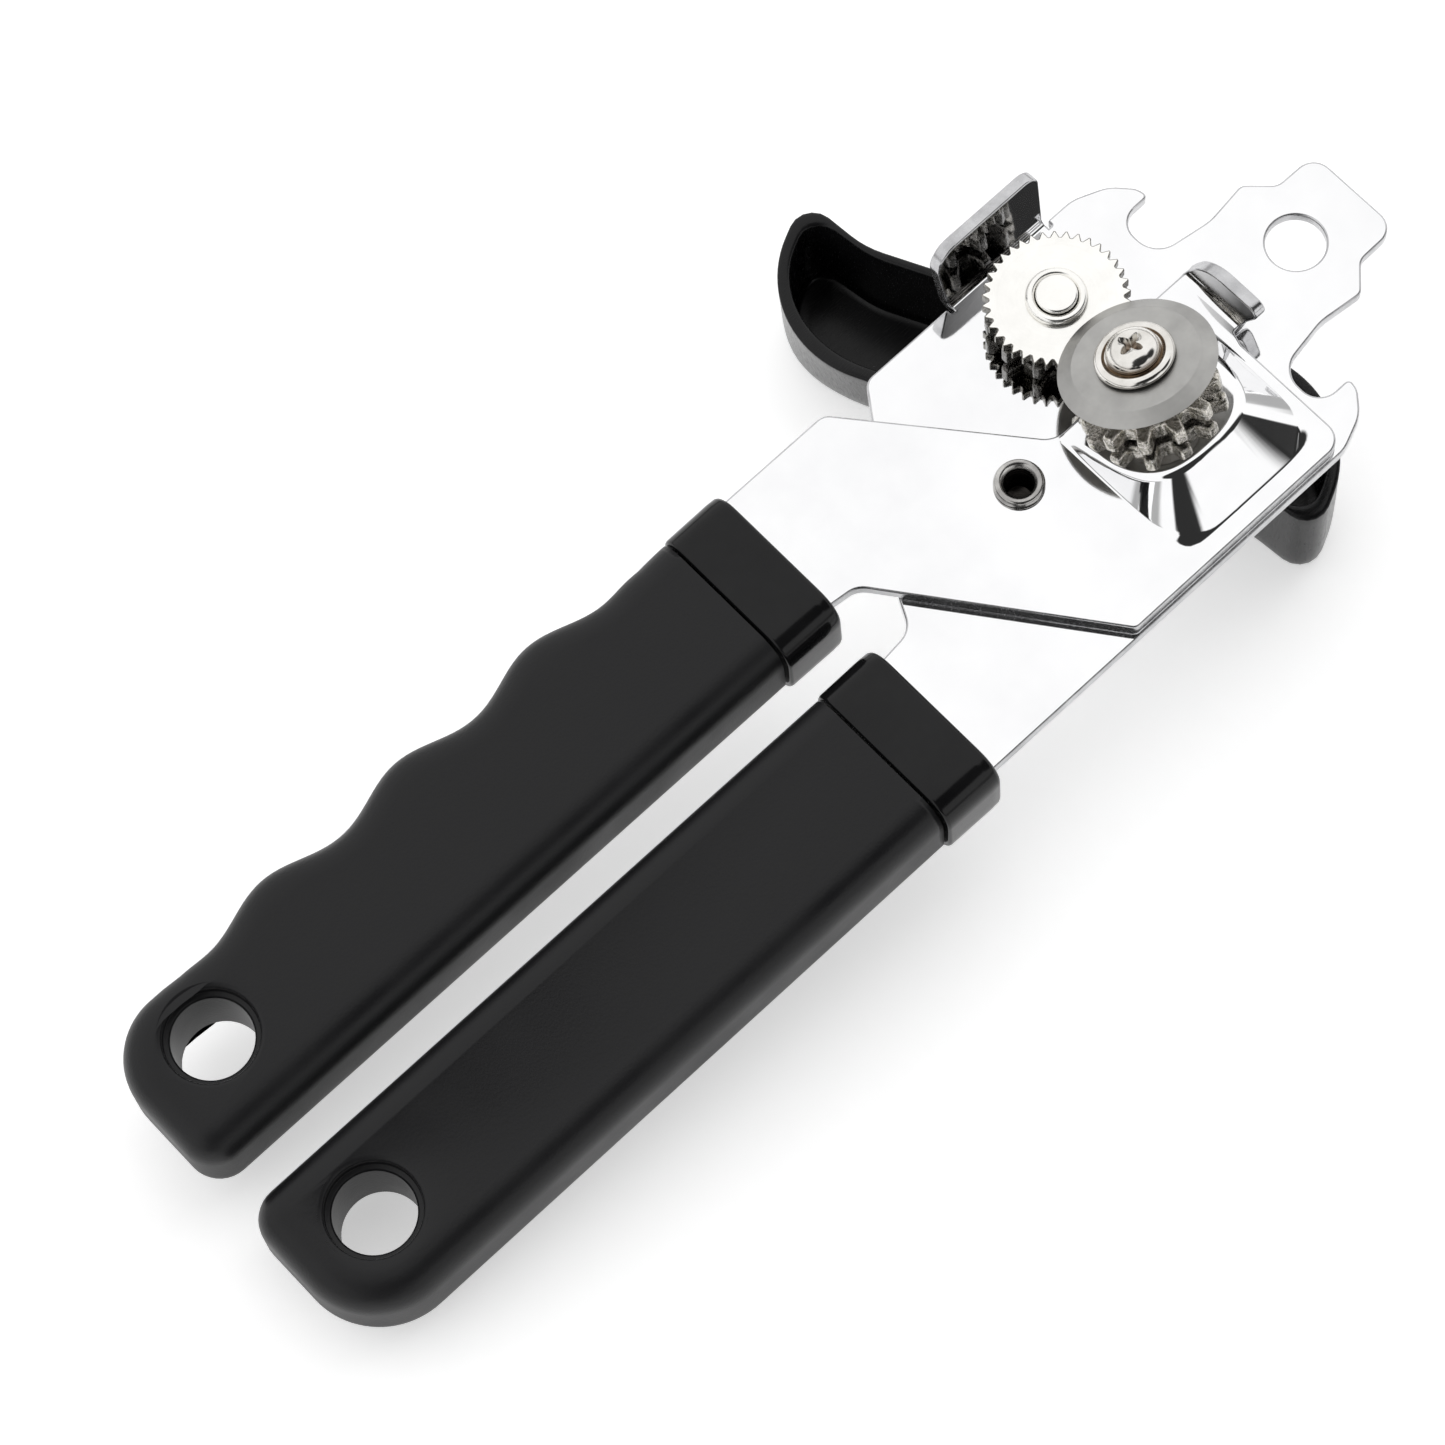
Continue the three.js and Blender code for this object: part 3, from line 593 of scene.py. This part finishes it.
# ---- lever plates ----
def folded(start, inner, axis, other_low, other_high, top, lean=0.0, final=90.0):
    """Bends the sheet up along axis = start, round an inner radius, between two limits and through a
    final angle in degrees."""
    middle = inner + SHEET / 2
    final = math.radians(final)
    arc = middle * final
    centre_z = top + inner

    def bend(p):
        along = p[axis] - start
        if along <= 0 or not (other_low < p[1 - axis] or along > 0.8) or p[1 - axis] > other_high:
            return p
        angle = min(along / middle, final)
        reach = inner + top - p.z
        beyond = max(0.0, along - arc)
        bent = p.copy()
        bent[axis] = start + reach * math.sin(angle) + beyond * math.cos(final)
        bent.z = centre_z - reach * math.cos(angle) + beyond * math.sin(final)
        bent[1 - axis] += lean * max(0.0, bent.z - top)
        return bent

    return bend, [start - 0.12, *(start + arc * k / 10 for k in range(11))]


HEAD = [
    (33.8, 25.0, 6), (38.6, 23.0, 6), (41.0, 20.2, 2.6), (41.4, 18.3, 0.7), (35.9, 18.3, 2.9),
    (35.9, 11.6, 3.6), (44.5, 10.2, 8), (51.0, 11.0, 1.4), (54.4, 7.6, 2), (61.0, 7.5, 2.8),
]
PLATE_START = -33.0  # inside the grip collars
RIVET_BORE, BUSHING_BORE = 3.05, 4.25


def back_plate():
    bend_y, guide_top, near, far = 24.5, 39.17, 11.8, 28.8
    notch, root = 0.6, 24.1
    bend, rows = folded(bend_y, 0.8, 1, near - 0.12, far + 0.05, 0.0, 0.0, 86.0)
    mirrored = [(x, -y, r) for x, y, r in HEAD]
    corners = [
        (PLATE_START, -20.0), (-29.6, -20.0, 0.4), (-29.6, -25.0, 1.0), *mirrored, *HEAD[::-1],
        (far + notch, 25.0, 0.3), (far + notch, root, 0.25), (far, root), (far, guide_top, 2.4),
        (near - 1.3, guide_top, 3.4), (near, root), (near - notch, root, 0.25),
        (near - notch, 25.0, 0.3),
        (-3.4, 25.0, 2.2), (-21.2, 0.2, 3), (-23.3, -4.0, 3.4), (-29.6, -4.6, 0.4), (-29.6, -9.0, 0.4),
        (PLATE_START, -9.0),
    ]
    outline = rounded(corners)
    links = [(1, row, near - (0.12 if row < 25.2 else 1.4), far + 0.1) for row in rows]
    for link in links:
        outline = split_at(outline, *link)
    holes = [circle(RIVET_BORE), circle(BUSHING_BORE, DRIVE_X, DRIVE_Y), circle(4.0, 50.2, 0.1, 96)]
    return slab(outline, holes, -SHEET, 0.0, EDGE, bend=bend, links=links)


SEAT_FOOT = {"x": 20.4, "half": 12.2, "reach": 18.0, "power": 7}
SEAT_CREST = {"x": 19.3, "half": 10.4, "reach": 11.7 * math.cos(TILT), "power": 2.6}
SEAT_LINE = 1.05  # where the sloping seat comes out of the plate


def seat_rows():
    """Rows of (x, y, lift) points over the raised seat, from its foot to inside its crest."""
    slope = math.tan(TILT)
    centre_y = DISC_TOP[1] - 8.7 * math.sin(TILT)
    lift_at = lambda y: max(0.0, slope * (SEAT_LINE - y))
    ends = []
    straight, round_steps = 10, 96

    def outer(form, angle):
        """The point of a superellipse in a direction from its centre."""
        c, s = math.cos(angle), math.sin(angle)
        power = form["power"]
        reach = ((abs(c) / form["half"]) ** power + (abs(s) / form["reach"]) ** power) ** (-1 / power)
        return (form["x"] + reach * c, centre_y + reach * s)

    def side(sign, k):
        y = SEAT_LINE + (centre_y - SEAT_LINE) * k / straight
        return tuple((form["x"] + sign * form["half"], y) for form in (SEAT_FOOT, SEAT_CREST))

    ends += [side(-1, k) for k in range(straight)]
    for k in range(round_steps + 1):
        angle = math.pi * (1 + k / round_steps)
        ends.append((outer(SEAT_FOOT, angle), outer(SEAT_CREST, angle)))
    ends += [side(1, k) for k in reversed(range(straight))]
    rows = []
    for foot, crest in ends:
        a, b = Vector((*foot, 0.0)), Vector((*crest, lift_at(crest[1])))
        level = Vector((b.x - a.x, b.y - a.y, 0.0)).normalized()
        onward = (level + Vector((0, 0, -slope * level.y))).normalized()
        wall = b - a
        column = []
        turn = math.degrees(math.atan2(foot[1] - centre_y, foot[0] - SEAT_FOOT["x"]))
        blunt = math.exp(-(((turn + 124) / 9) ** 2)) + math.exp(-(((turn + 55) / 6) ** 2))
        foot_size = 0.32 + 1.1 * blunt
        for corner, before, after, size in (
            (a, level, wall.normalized(), foot_size), (b, wall.normalized(), onward, 0.9)
        ):
            own = min(size, 0.42 * wall.length)
            p, q = corner - before * own, corner + after * own
            for k in range(7):
                t = k / 6
                column.append(p.lerp(corner, t).lerp(corner.lerp(q, t), t))
        rows.append(column)
    return [[tuple(column[k]) for column in rows] for k in range(14)]


def front_plate():
    root, near, far, top = 35.0, -3.9, 6.5, 43.3
    bend, rows = folded(root, 1.3, 0, near - 0.4, far + 0.4, FRONT_TOP, -0.5)
    corners = [
        (PLATE_START, 9.0), (-29.6, 9.0, 0.4), (-29.6, 4.9, 0.4), (-24.5, 4.3, 3), (-3.1, -24.5, 1.2),
        (34.1, -24.5, 2.8), (34.1, -5.9, 0.9), (34.7, near, 0.4), (top, near, 2.5), (top, far, 3.5),
        (27.4, far, 2), (24.6, 1.4, 3), (7.6, 1.4, 3.5), (-11.2, 24.7, 2.2), (-29.6, 24.7, 0.4),
        (-29.6, 20.0, 0.4), (PLATE_START, 20.0),
    ]
    outline = rounded(corners)
    for row in rows:
        outline = split_at(outline, 0, row, near - 0.1, far + 0.1)
    links = [(0, row, near - 0.1, far + 0.1) for row in rows]
    reach = SEAT_FOOT["half"] + 0.5
    seat_edge = [(SEAT_FOOT["x"] + side, SEAT_LINE, 0.0) for side in (-reach, reach)]
    lines = [*seat_rows(), seat_edge]
    return slab(outline, [circle(RIVET_BORE)], FRONT_Z, FRONT_TOP, EDGE, lines, bend, links)


for name, plate, body, node in (
    ("back_plate", back_plate, "back_lever", "back_lever_plate"),
    ("front_plate", front_plate, "front_lever", "front_lever_plate"),
):
    place(name, plate(), CHROME, body, node, "chrome_sheet", edge=SHEARED)

# ---- grips ----
HALF = 6.7
GRIP_FRONT, COLLAR_END, BODY_FRONT, GRIP_END = -29.5, -38.8, -39.15, -135.5
WAVE_PITCH, WAVE_CREST, WAVES_END = 22.4, -60.9, -124.0
HANG_X, HANG_Y, MOUTH, BORE, STEP = -123.6, 14.9, 6.15, 5.3, 1.6
BACK = {"inner": 3.6, "outer": 26.8, "waves": 0.0, "middle": -0.9, "side": -1, "corner": 11.0}
FRONT = {"inner": 2.2, "outer": 24.2, "waves": 2.5, "middle": 1.15, "side": 1, "corner": 9.5}
PROUD = {-1: (0.35, 0.7), 1: (0.75, 0.75)}  # how far a collar stands out at its inner and outer side


def grip_side(form, x):
    """Outer edge of a grip at x, with finger waves that fade out at both ends."""
    fade = min(1.0, max(0.2, (-44.0 - x) / 8 + 0.2)) * min(1.0, max(0.2, (x + 121.0) / 8 + 0.2))
    wave = (1 + math.cos(2 * math.pi * (x - WAVE_CREST) / WAVE_PITCH)) / 2
    return form["outer"] + form["waves"] * fade * wave


def grip_outline(form):
    far = grip_side(form, WAVES_END)
    inner = form["inner"]
    corner = (GRIP_END, far, form["corner"])
    end = rounded([(BODY_FRONT, inner), (BODY_FRONT, far), corner, (GRIP_END, inner, 4.5)], 0.8)
    tail = [p for p in end if p.x < WAVES_END or p.y < inner + 1]
    tail = [p for p in tail if p.x < BODY_FRONT - 0.01]
    wavy = []
    x = BODY_FRONT
    while x > WAVES_END:
        wavy.append(Vector((x, grip_side(form, x))))
        x -= 0.9
    return [Vector((BODY_FRONT, inner)), *wavy, *tail]


BODY_ROUND, COLLAR_ROUND, ROUND_DOWN = 4.2, 4.0, 4.4  # how far the rounding runs in, and down


def superellipse_levels(across, steps=9, power=2.3):
    """(inset, z) pairs from the top face's edge round the side to its middle."""
    levels = []
    for k in range(steps + 1):
        a = math.pi / 2 * k / steps
        x = math.sin(a) ** (2 / power)
        y = math.cos(a) ** (2 / power)
        levels.append((across * (1 - x), HALF - ROUND_DOWN * (1 - y)))
    return levels


def grip_body(form):
    """A grip's moulded body: rounded outline, stepped hanging hole and a flat front end."""
    outer = [Vector((p.x, p.y * form["side"])) for p in grip_outline(form)]
    if area_of(outer) < 0:
        outer.reverse()
    levels = superellipse_levels(BODY_ROUND)
    hole_y = HANG_Y * form["side"]
    ledge = HALF - STEP
    hole = [(MOUTH + 0.7, HALF), (MOUTH + 0.25, HALF - 0.12), (MOUTH, HALF - 0.5), (MOUTH, ledge + 0.15)]
    hole += [(MOUTH - 0.15, ledge), (BORE + 0.3, ledge), (BORE, ledge - 0.3)]
    middle = form["middle"]

    def squeezed(distance):
        """The outline inset, but never behind the flat front end."""
        moved = inset(outer, distance)
        for p, q in zip(moved, outer):
            if q.x > BODY_FRONT - 1e-3:
                p.x = q.x
        return moved

    cap = squeezed(BODY_ROUND)
    mouth = circle(hole[0][0], HANG_X, hole_y, 72)[::-1]
    flat = [*cap, *mouth]
    edges = [(i, (i + 1) % len(cap)) for i in range(len(cap))]
    edges += [(len(cap) + i, len(cap) + (i + 1) % len(mouth)) for i in range(len(mouth))]
    plan, _, triangles, origins, _, _ = delaunay_2d_cdt(flat, edges, [], 0, 1e-5, True)
    new_of = {o: n for n, own in enumerate(origins) for o in own}
    kept = []
    for tri in triangles:
        centre = sum((plan[i] for i in tri), Vector((0, 0))) / 3
        if inside(centre, cap) and (centre - Vector((HANG_X, hole_y))).length > hole[0][0] * 0.98:
            kept.append(tuple(tri))
    count = len(plan)
    points = [(p.x, p.y, middle + HALF) for p in plan] + [(p.x, p.y, middle - HALF) for p in plan]
    faces = kept + [tuple(i + count for i in reversed(tri)) for tri in kept]

    def join_rows(ids, rows):
        above = ids
        for row in rows:
            below = list(range(len(points), len(points) + len(row)))
            points.extend(row)
            faces.extend(strip(above, below))
            above = below
        faces.extend(strip(above, [i + count for i in ids]))

    around = [(d, z) for d, z in levels[1:]] + [(d, -z) for d, z in reversed(levels[1:])]
    join_rows(
        [new_of[i] for i in range(len(cap))],
        [[(p.x, p.y, middle + z) for p in squeezed(d)] for d, z in around],
    )
    down = hole[1:] + [(r, -z) for r, z in reversed(hole[1:])]
    join_rows(
        [new_of[len(cap) + i] for i in range(len(mouth))],
        [[(p.x, p.y, middle + z) for p in circle(r, HANG_X, hole_y, 72)[::-1]] for r, z in down],
    )
    return points, faces


def collar(form):
    """The glossy collar at the front of a grip: a rounded section with softened ends."""
    side = form["side"]
    inner = form["inner"] - PROUD[side][0]
    outer = grip_side(form, GRIP_FRONT) + PROUD[side][1]
    section = []
    arc = superellipse_levels(COLLAR_ROUND)
    for sign_y, sign_z, order in ((1, 1, 1), (1, -1, -1), (-1, -1, 1), (-1, 1, -1)):
        for d, z in arc[::order]:
            y = (outer - d) if sign_y > 0 else (inner + d)
            section.append((y * side, z * sign_z))
    middle = form["middle"]
    middle_y = side * (inner + outer) / 2
    span_y, span_z = (outer - inner) / 2, HALF
    rings = []
    for x, smaller in (
        (GRIP_FRONT, 0.75), (GRIP_FRONT - 0.08, 0.45), (GRIP_FRONT - 0.3, 0.18),
        (GRIP_FRONT - 0.7, 0.0), (GRIP_FRONT - 2.0, -0.06),
        (COLLAR_END + 0.5, 0.0), (COLLAR_END + 0.2, 0.1), (COLLAR_END, 0.4),
    ):
        by_y, by_z = 1 - smaller / span_y, 1 - smaller / span_z
        rings.append([(x, middle_y + (y - middle_y) * by_y, middle + z * by_z) for y, z in section])
    return loft(rings)


for form, body, prefix in ((BACK, "back_lever", "back"), (FRONT, "front_lever", "front")):
    place(f"{prefix}_grip_body", grip_body(form), SATIN, body, f"{prefix}_grip", "grip_plastic")
    place(f"{prefix}_collar", collar(form), GLOSS, body, f"{prefix}_grip_collar", "gloss_plastic")

# ---- pivot ----
RIVET = [
    (0, -3.6), (4.2, -3.6, 0.4), (4.2, -2.7), (2.9, -2.7), (2.9, 2.15), (3.3, 2.15, 0.1),
    (3.4, 2.55, 0.4), (3.1, 3.25, 0.4), (2.5, 3.25, 0.35), (1.95, 2.6, 0.3), (1.9, -2.6, 0.2),
    (0, -2.9),
]
place("pivot_tube_rivet", turned(RIVET), NICKEL_PIVOT, "back_lever", "pivot_rivet", "nickel_steel")
PIVOT_WASHER = ring(3.0, 5.4, -2.6, -1.9)
place("pivot_back_washer", PIVOT_WASHER, PLAIN_STEEL, "back_lever", "pivot_washer", "plain_steel")

# ---- drive ----
SHAFT, SHAFT_BORE = 2.75, 2.85
KEY_BOTTOM = -30.5
HEAD_END, HEAD_SEAT = KEY_BOTTOM + 1.0, KEY_BOTTOM + 2.1
WASHER = (KEY_BOTTOM + 2.2, KEY_BOTTOM + 2.8)
DRIVE_PIECES = [
    ("drive_flanged_bushing", "drive_bushing", "back_lever", PLAIN_STEEL, "plain_steel",
     [(SHAFT_BORE, -2.6), (5.2, -2.6), (5.2, -1.9), (4.1, -1.9), (4.1, 0.1), (6.0, 0.1), (6.0, 0.6),
      (SHAFT_BORE, 0.6)]),
    ("drive_thrust_washer", "thrust_washer", "drive", PLAIN_STEEL, "plain_steel",
     [(SHAFT_BORE, 0.7), (5.5, 0.7), (5.5, 1.1), (SHAFT_BORE, 1.1)]),
    ("drive_axle", "drive_shaft", "drive", NICKEL_WHEEL, "nickel_steel",
     [(0, HEAD_END), (4.1, HEAD_END, 0.5), (4.1, HEAD_SEAT), (SHAFT, HEAD_SEAT), (SHAFT, 8.0, 0.35),
      (0, 8.0)]),
    ("feed_wheel_hub", "feed_wheel_collar", "drive", NICKEL_WHEEL, "nickel_steel",
     [(SHAFT_BORE, 6.6), (4.1, 6.6), (4.05, 7.2, 0.2), (3.75, 7.6, 0.25), (3.15, 7.6, 0.2),
      (SHAFT_BORE, 7.3, 0.1)]),
    ("key_wave_washer", "key_spring_washer", "drive", PLAIN_STEEL, "plain_steel",
     [(SHAFT_BORE + 0.3, -3.6), (6.0, -3.3), (6.0, -2.9), (SHAFT_BORE + 0.3, -3.2)]),
    ("key_flat_washer", "key_washer", "drive", PLAIN_STEEL, "plain_steel",
     [(SHAFT_BORE, WASHER[0]), (4.7, WASHER[0]), (4.7, WASHER[1]), (SHAFT_BORE, WASHER[1])]),
]
for name, node, body, material, slot, profile in DRIVE_PIECES:
    place(name, turned(profile), material, body, node, slot, DRIVE)


def toothed(teeth, root, tip, land, foot, phase, soft):
    """A gear's outline; land and foot are the shares of the pitch that a tooth covers at its tip and
    root, phase turns it by a share of the pitch, and soft rounds its corners."""
    corners = []
    pitch = 2 * math.pi / teeth
    for i in range(teeth):
        for radius, share in ((root, -foot / 2), (tip, -land / 2), (tip, land / 2), (root, foot / 2)):
            angle = (i + share + phase) * pitch
            corners.append((radius * math.cos(angle), radius * math.sin(angle), soft))
    return rounded(corners, 0.12)


FEED = slab(toothed(38, 8.75, 9.6, 0.16, 0.84, 0, 0.08), [circle(SHAFT_BORE)], 4.8, 6.5, 0.14)
GEAR = slab(toothed(12, 7.1, 9.45, 0.24, 0.62, 0, 0.4), [circle(SHAFT_BORE)], 1.2, 4.6, 0.35)
place(
    "toothed_feed_wheel", FEED, NICKEL_WHEEL, "drive", "feed_wheel", "nickel_steel", DRIVE, TOOTH_STEEL
)
place("spur_drive_gear", GEAR, DRIVE_GEAR_STEEL, "drive", "drive_gear", "plain_steel", DRIVE)

# ---- turning key ----
KEY_RIM, KEY_WALL, KEY_ROUND, KEY_LEAN = -13.6, 1.8, 2.2, 2.6
KEY_LENGTH, KEY_WIDTH, KEY_TURN = 40.5, 10.5, math.radians(115)
WING = [
    (12, -7.4, 14), (30, -7.2, 14), (KEY_LENGTH, -11.2, 3.2), (KEY_LENGTH, 11.1, 16), (18, 11.1, 12)
]


def key_solid():
    """The butterfly key: a shell open towards the plates, with a hub for the shaft."""
    plan = rounded(WING + [(-x, -y, r) for x, y, r in WING], 1.2)

    def level(extra, depth, z):
        pull = extra + KEY_ROUND * (1 - (1 - depth**8) ** 0.125)
        placed = []
        for p in plan:
            full = max(0.0, math.copysign(p.y, p.x * p.y)) / KEY_WIDTH
            lean = KEY_LEAN * depth * full * min(1.0, abs(p.x) / 20)
            x = p.x * (1 - (pull + lean / 2) / KEY_LENGTH)
            placed.append((x, p.y * (1 - (pull + lean) / KEY_WIDTH), z))
        return placed

    steps = 16
    brim = 0.4  # height of the rim's rounding
    side_top = KEY_RIM - brim
    rings = []
    for k in range(steps + 1):
        depth = math.sin(math.pi / 2 * (1 - k / steps))
        rings.append(level(0, depth, side_top + (KEY_BOTTOM - side_top) * depth))
    for k in range(1, 8):
        a = math.pi * k / 8
        half = KEY_WALL / 2
        rings.append(level(half * (1 - math.cos(a)), 0, side_top + brim * math.sin(a)))
    for k in range(steps + 1):
        depth = math.sin(math.pi / 2 * k / steps)
        rings.append(level(KEY_WALL, depth, side_top + (KEY_BOTTOM - side_top + KEY_WALL) * depth))
    shell = loft(rings)
    seat = KEY_BOTTOM + 2.9
    hub = turned([(SHAFT_BORE, seat), (6.2, seat), (6.2, -3.7), (SHAFT_BORE, -3.7)], 0.3, 64)
    return merged(shell, hub)


KEY = DRIVE @ Matrix.Rotation(KEY_TURN, 4, "Z")
place("butterfly_key", key_solid(), KEY_PLASTIC, "drive", "turning_key", "gloss_plastic", KEY)

# ---- cutter ----
POST, POST_BORE = 2.8, 2.9
CUTTER_PIECES = [
    ("cutting_disc", "cutter_wheel", "cutter", CUTTER_STEEL, "cutter_steel",
     [(POST_BORE, -1.3), (10.3, -1.3), (10.5, -1.1, 0.04), (8.4, 0, 0.1), (POST_BORE, 0)]),
    ("cutter_sleeve", "cutter_spacer", "cutter", PLAIN_STEEL, "plain_steel",
     [(POST_BORE, -5.3), (5.0, -5.3), (5.0, -1.4), (POST_BORE, -1.4)]),
    ("cutter_hollow_post", "cutter_post", "front_lever", NICKEL_SCREW, "nickel_steel",
     [(1.75, -11.3), (3.3, -11.3), (3.3, -10.6), (POST, -10.6), (POST, 0.3), (1.75, 0.3)]),
    ("cutter_seat_ring", "cutter_seat_washer", "front_lever", PLAIN_STEEL, "plain_steel",
     [(POST_BORE, -8.6), (5.2, -8.6), (5.2, -8.1), (POST_BORE, -8.1)]),
    ("cutter_cup_washer", "cutter_washer", "front_lever", NICKEL_SCREW, "nickel_steel",
     [(1.8, 0.4), (5.3, 0.4), (5.35, 0.75, 0.2), (5.0, 1.3, 0.35), (4.2, 1.35, 0.25),
      (3.9, 0.95, 0.2), (1.8, 0.9)]),
]
for name, node, body, material, slot, profile in CUTTER_PIECES:
    place(name, turned(profile, 0.08), material, body, node, slot, CUTTER)

CUTTER_GEAR = slab(toothed(12, 7.2, 9.6, 0.3, 0.6, 0.5, 0.5), [circle(POST_BORE)], -8.0, -5.4, 0.4)
place(
    "spur_cutter_gear", CUTTER_GEAR, CUTTER_GEAR_STEEL, "cutter", "cutter_gear", "plain_steel", CUTTER
)


def screw_solid():
    """A domed screw head with a four-pointed recess, on a plain shank."""
    depth, shank = 1.5, 1.6
    turns = [2 * math.pi * i / 96 for i in range(96)]
    levels = [
        (shank, -8.0), (shank, 1.0), (3.4, 1.0), (3.55, 1.2), (3.6, 1.5), (3.5, 1.95), (3.25, 2.4),
        (2.8, 2.8), (2.4, 3.0), (2.15, 3.08),
    ]

    def recess(angle, scale):
        star = abs(math.cos(2 * (angle - math.radians(12)))) ** 2.2
        return scale * (0.8 + 1.2 * star)

    rings = [[(r * math.cos(a), r * math.sin(a), z) for a in turns] for r, z in levels]
    for scale, z in ((1.0, 3.1), (0.93, 3.0), (0.8, 3.1 - depth), (0.3, 2.9 - depth)):
        ring_points = []
        for a in turns:
            r = min(recess(a, scale), 2.05)
            ring_points.append((r * math.cos(a), r * math.sin(a), z))
        rings.append(ring_points)
    return loft(rings)


SCREW = screw_solid()
place("cutter_dome_screw", SCREW, NICKEL_HEAD, "front_lever", "cutter_screw", "nickel_steel", CUTTER)

# ---- camera ----
# Placed in the lever frame, then turned with it.
CAMERA_AT = Vector((-178.26, -185.94, 602.04))
CAMERA_RIGHT = Vector((0.73036, -0.68067, -0.05713))
CAMERA_FORWARD = Vector((0.20081, 0.29390, -0.93450))
FOCAL_PIXELS, IMAGE_PIXELS, SENSOR = 5096, 1445, 36.0


def add_camera():
    data = bpy.data.cameras.new("camera")
    data.sensor_width = SENSOR
    data.lens = SENSOR * FOCAL_PIXELS / IMAGE_PIXELS
    data.clip_start, data.clip_end = 0.05, 20
    camera = bpy.data.objects.new("camera", data)
    bpy.context.scene.collection.objects.link(camera)
    turn = LEVER.to_3x3().normalized()
    forward = (turn @ CAMERA_FORWARD).normalized()
    right = (turn @ CAMERA_RIGHT).normalized()
    up = right.cross(forward)
    basis = Matrix((right, up, -forward)).transposed().to_4x4()
    camera.matrix_world = Matrix.Translation(LEVER @ CAMERA_AT) @ basis
    bpy.context.scene.camera = camera


# ---- floor and light ----
FLOOR_HALF, FLOOR_DROP = 3.0, 0.0002  # in metres; it lies just under the model
FLOOR_GLOW = 0.5


def add_floor():
    mesh = bpy.data.meshes.new("floor")
    corners = [(x * FLOOR_HALF, y * FLOOR_HALF, 0) for x, y in ((-1, -1), (1, -1), (1, 1), (-1, 1))]
    mesh.from_pydata(corners, [], [(0, 1, 2, 3)])
    floor = bpy.data.objects.new("floor", mesh)
    bpy.context.scene.collection.objects.link(floor)
    floor.location.z = -FLOOR_DROP
    look = Look("floor_paper", (0.9, 0.9, 0.9), 0.0, 0.8, Specular_IOR_Level=0.1)
    look.shader.inputs["Emission Color"].default_value = (1, 1, 1, 1)
    look.shader.inputs["Emission Strength"].default_value = FLOOR_GLOW
    fibre = look.noise(look.place, 400, 3, 0.6)
    look.paint("Base Color", look.ramp(fibre, [(0.3, (0.90, 0.90, 0.90)), (0.7, (0.93, 0.93, 0.93))]))
    mesh.materials.append(look.material)


# The studio is white, with dark gaps between its panels and pale windows inside the gaps. Each is a
# direction in the lever frame and the degrees between which it fades out.
GAPS = [
    ((-0.12, -0.44, 0.89), 27, 31), ((0.57, -0.45, 0.68), 15, 25),
    ((-0.62, -0.66, 0.22), 18, 25), ((-0.45, -0.55, 0.7), 15, 21),
]
WINDOWS = [((-0.56, -0.62, 0.50), 3, 5), ((-0.64, -0.73, 0.15), 3, 6)]
STUDIO_LEVEL, GAP_DEPTH, WINDOW_LIFT = 1.08, 1.05, 0.45
HORIZON_LOW, HORIZON_HIGH, HORIZON_DEPTH = 0.10, 0.22, 0.62  # the walls darken towards the floor


def add_world():
    """The studio's light, as the world around the model."""
    world = bpy.data.worlds.new("studio")
    world.use_nodes = True
    bpy.context.scene.world = world
    tree = world.node_tree
    turn = LEVER.to_3x3().normalized()
    toward = tree.nodes.new("ShaderNodeTexCoord").outputs["Generated"]

    def math_node(kind, a, b):
        made = tree.nodes.new("ShaderNodeMath")
        made.operation = kind
        for socket, value in zip(made.inputs, (a, b)):
            if hasattr(value, "is_output"):
                tree.links.new(value, socket)
            else:
                socket.default_value = value
        return made.outputs[0]

    def patch(direction, inner, outer):
        """One inside a cone about a direction, falling to zero between two angles in degrees."""
        dot = tree.nodes.new("ShaderNodeVectorMath")
        dot.operation = "DOT_PRODUCT"
        tree.links.new(toward, dot.inputs[0])
        dot.inputs[1].default_value = turn @ Vector(direction).normalized()
        made = tree.nodes.new("ShaderNodeMapRange")
        made.interpolation_type = "SMOOTHSTEP"
        tree.links.new(dot.outputs["Value"], made.inputs["Value"])
        made.inputs["From Min"].default_value = math.cos(math.radians(outer))
        made.inputs["From Max"].default_value = math.cos(math.radians(inner))
        return made.outputs["Result"]

    height = tree.nodes.new("ShaderNodeSeparateXYZ")
    tree.links.new(toward, height.inputs[0])
    horizon = tree.nodes.new("ShaderNodeMapRange")
    horizon.interpolation_type = "SMOOTHSTEP"
    tree.links.new(height.outputs["Z"], horizon.inputs["Value"])
    horizon.inputs["From Min"].default_value = HORIZON_LOW
    horizon.inputs["From Max"].default_value = HORIZON_HIGH
    horizon.inputs["To Min"].default_value = HORIZON_DEPTH
    horizon.inputs["To Max"].default_value = 0.0

    def any_of(patches):
        found = patch(*patches[0])
        for other in patches[1:]:
            found = math_node("MAXIMUM", found, patch(*other))
        return found

    lifted = math_node("MULTIPLY", any_of(WINDOWS), WINDOW_LIFT)
    dark = math_node("MULTIPLY", any_of(GAPS), math_node("SUBTRACT", GAP_DEPTH, lifted))
    level = math_node("SUBTRACT", STUDIO_LEVEL, math_node("MAXIMUM", dark, horizon.outputs["Result"]))
    background = tree.nodes["Background"]
    tree.links.new(level, background.inputs["Strength"])
    background.inputs["Color"].default_value = (1, 1, 1, 1)


add_camera()
add_floor()
add_world()
bpy.context.scene.view_settings.view_transform = "Standard"
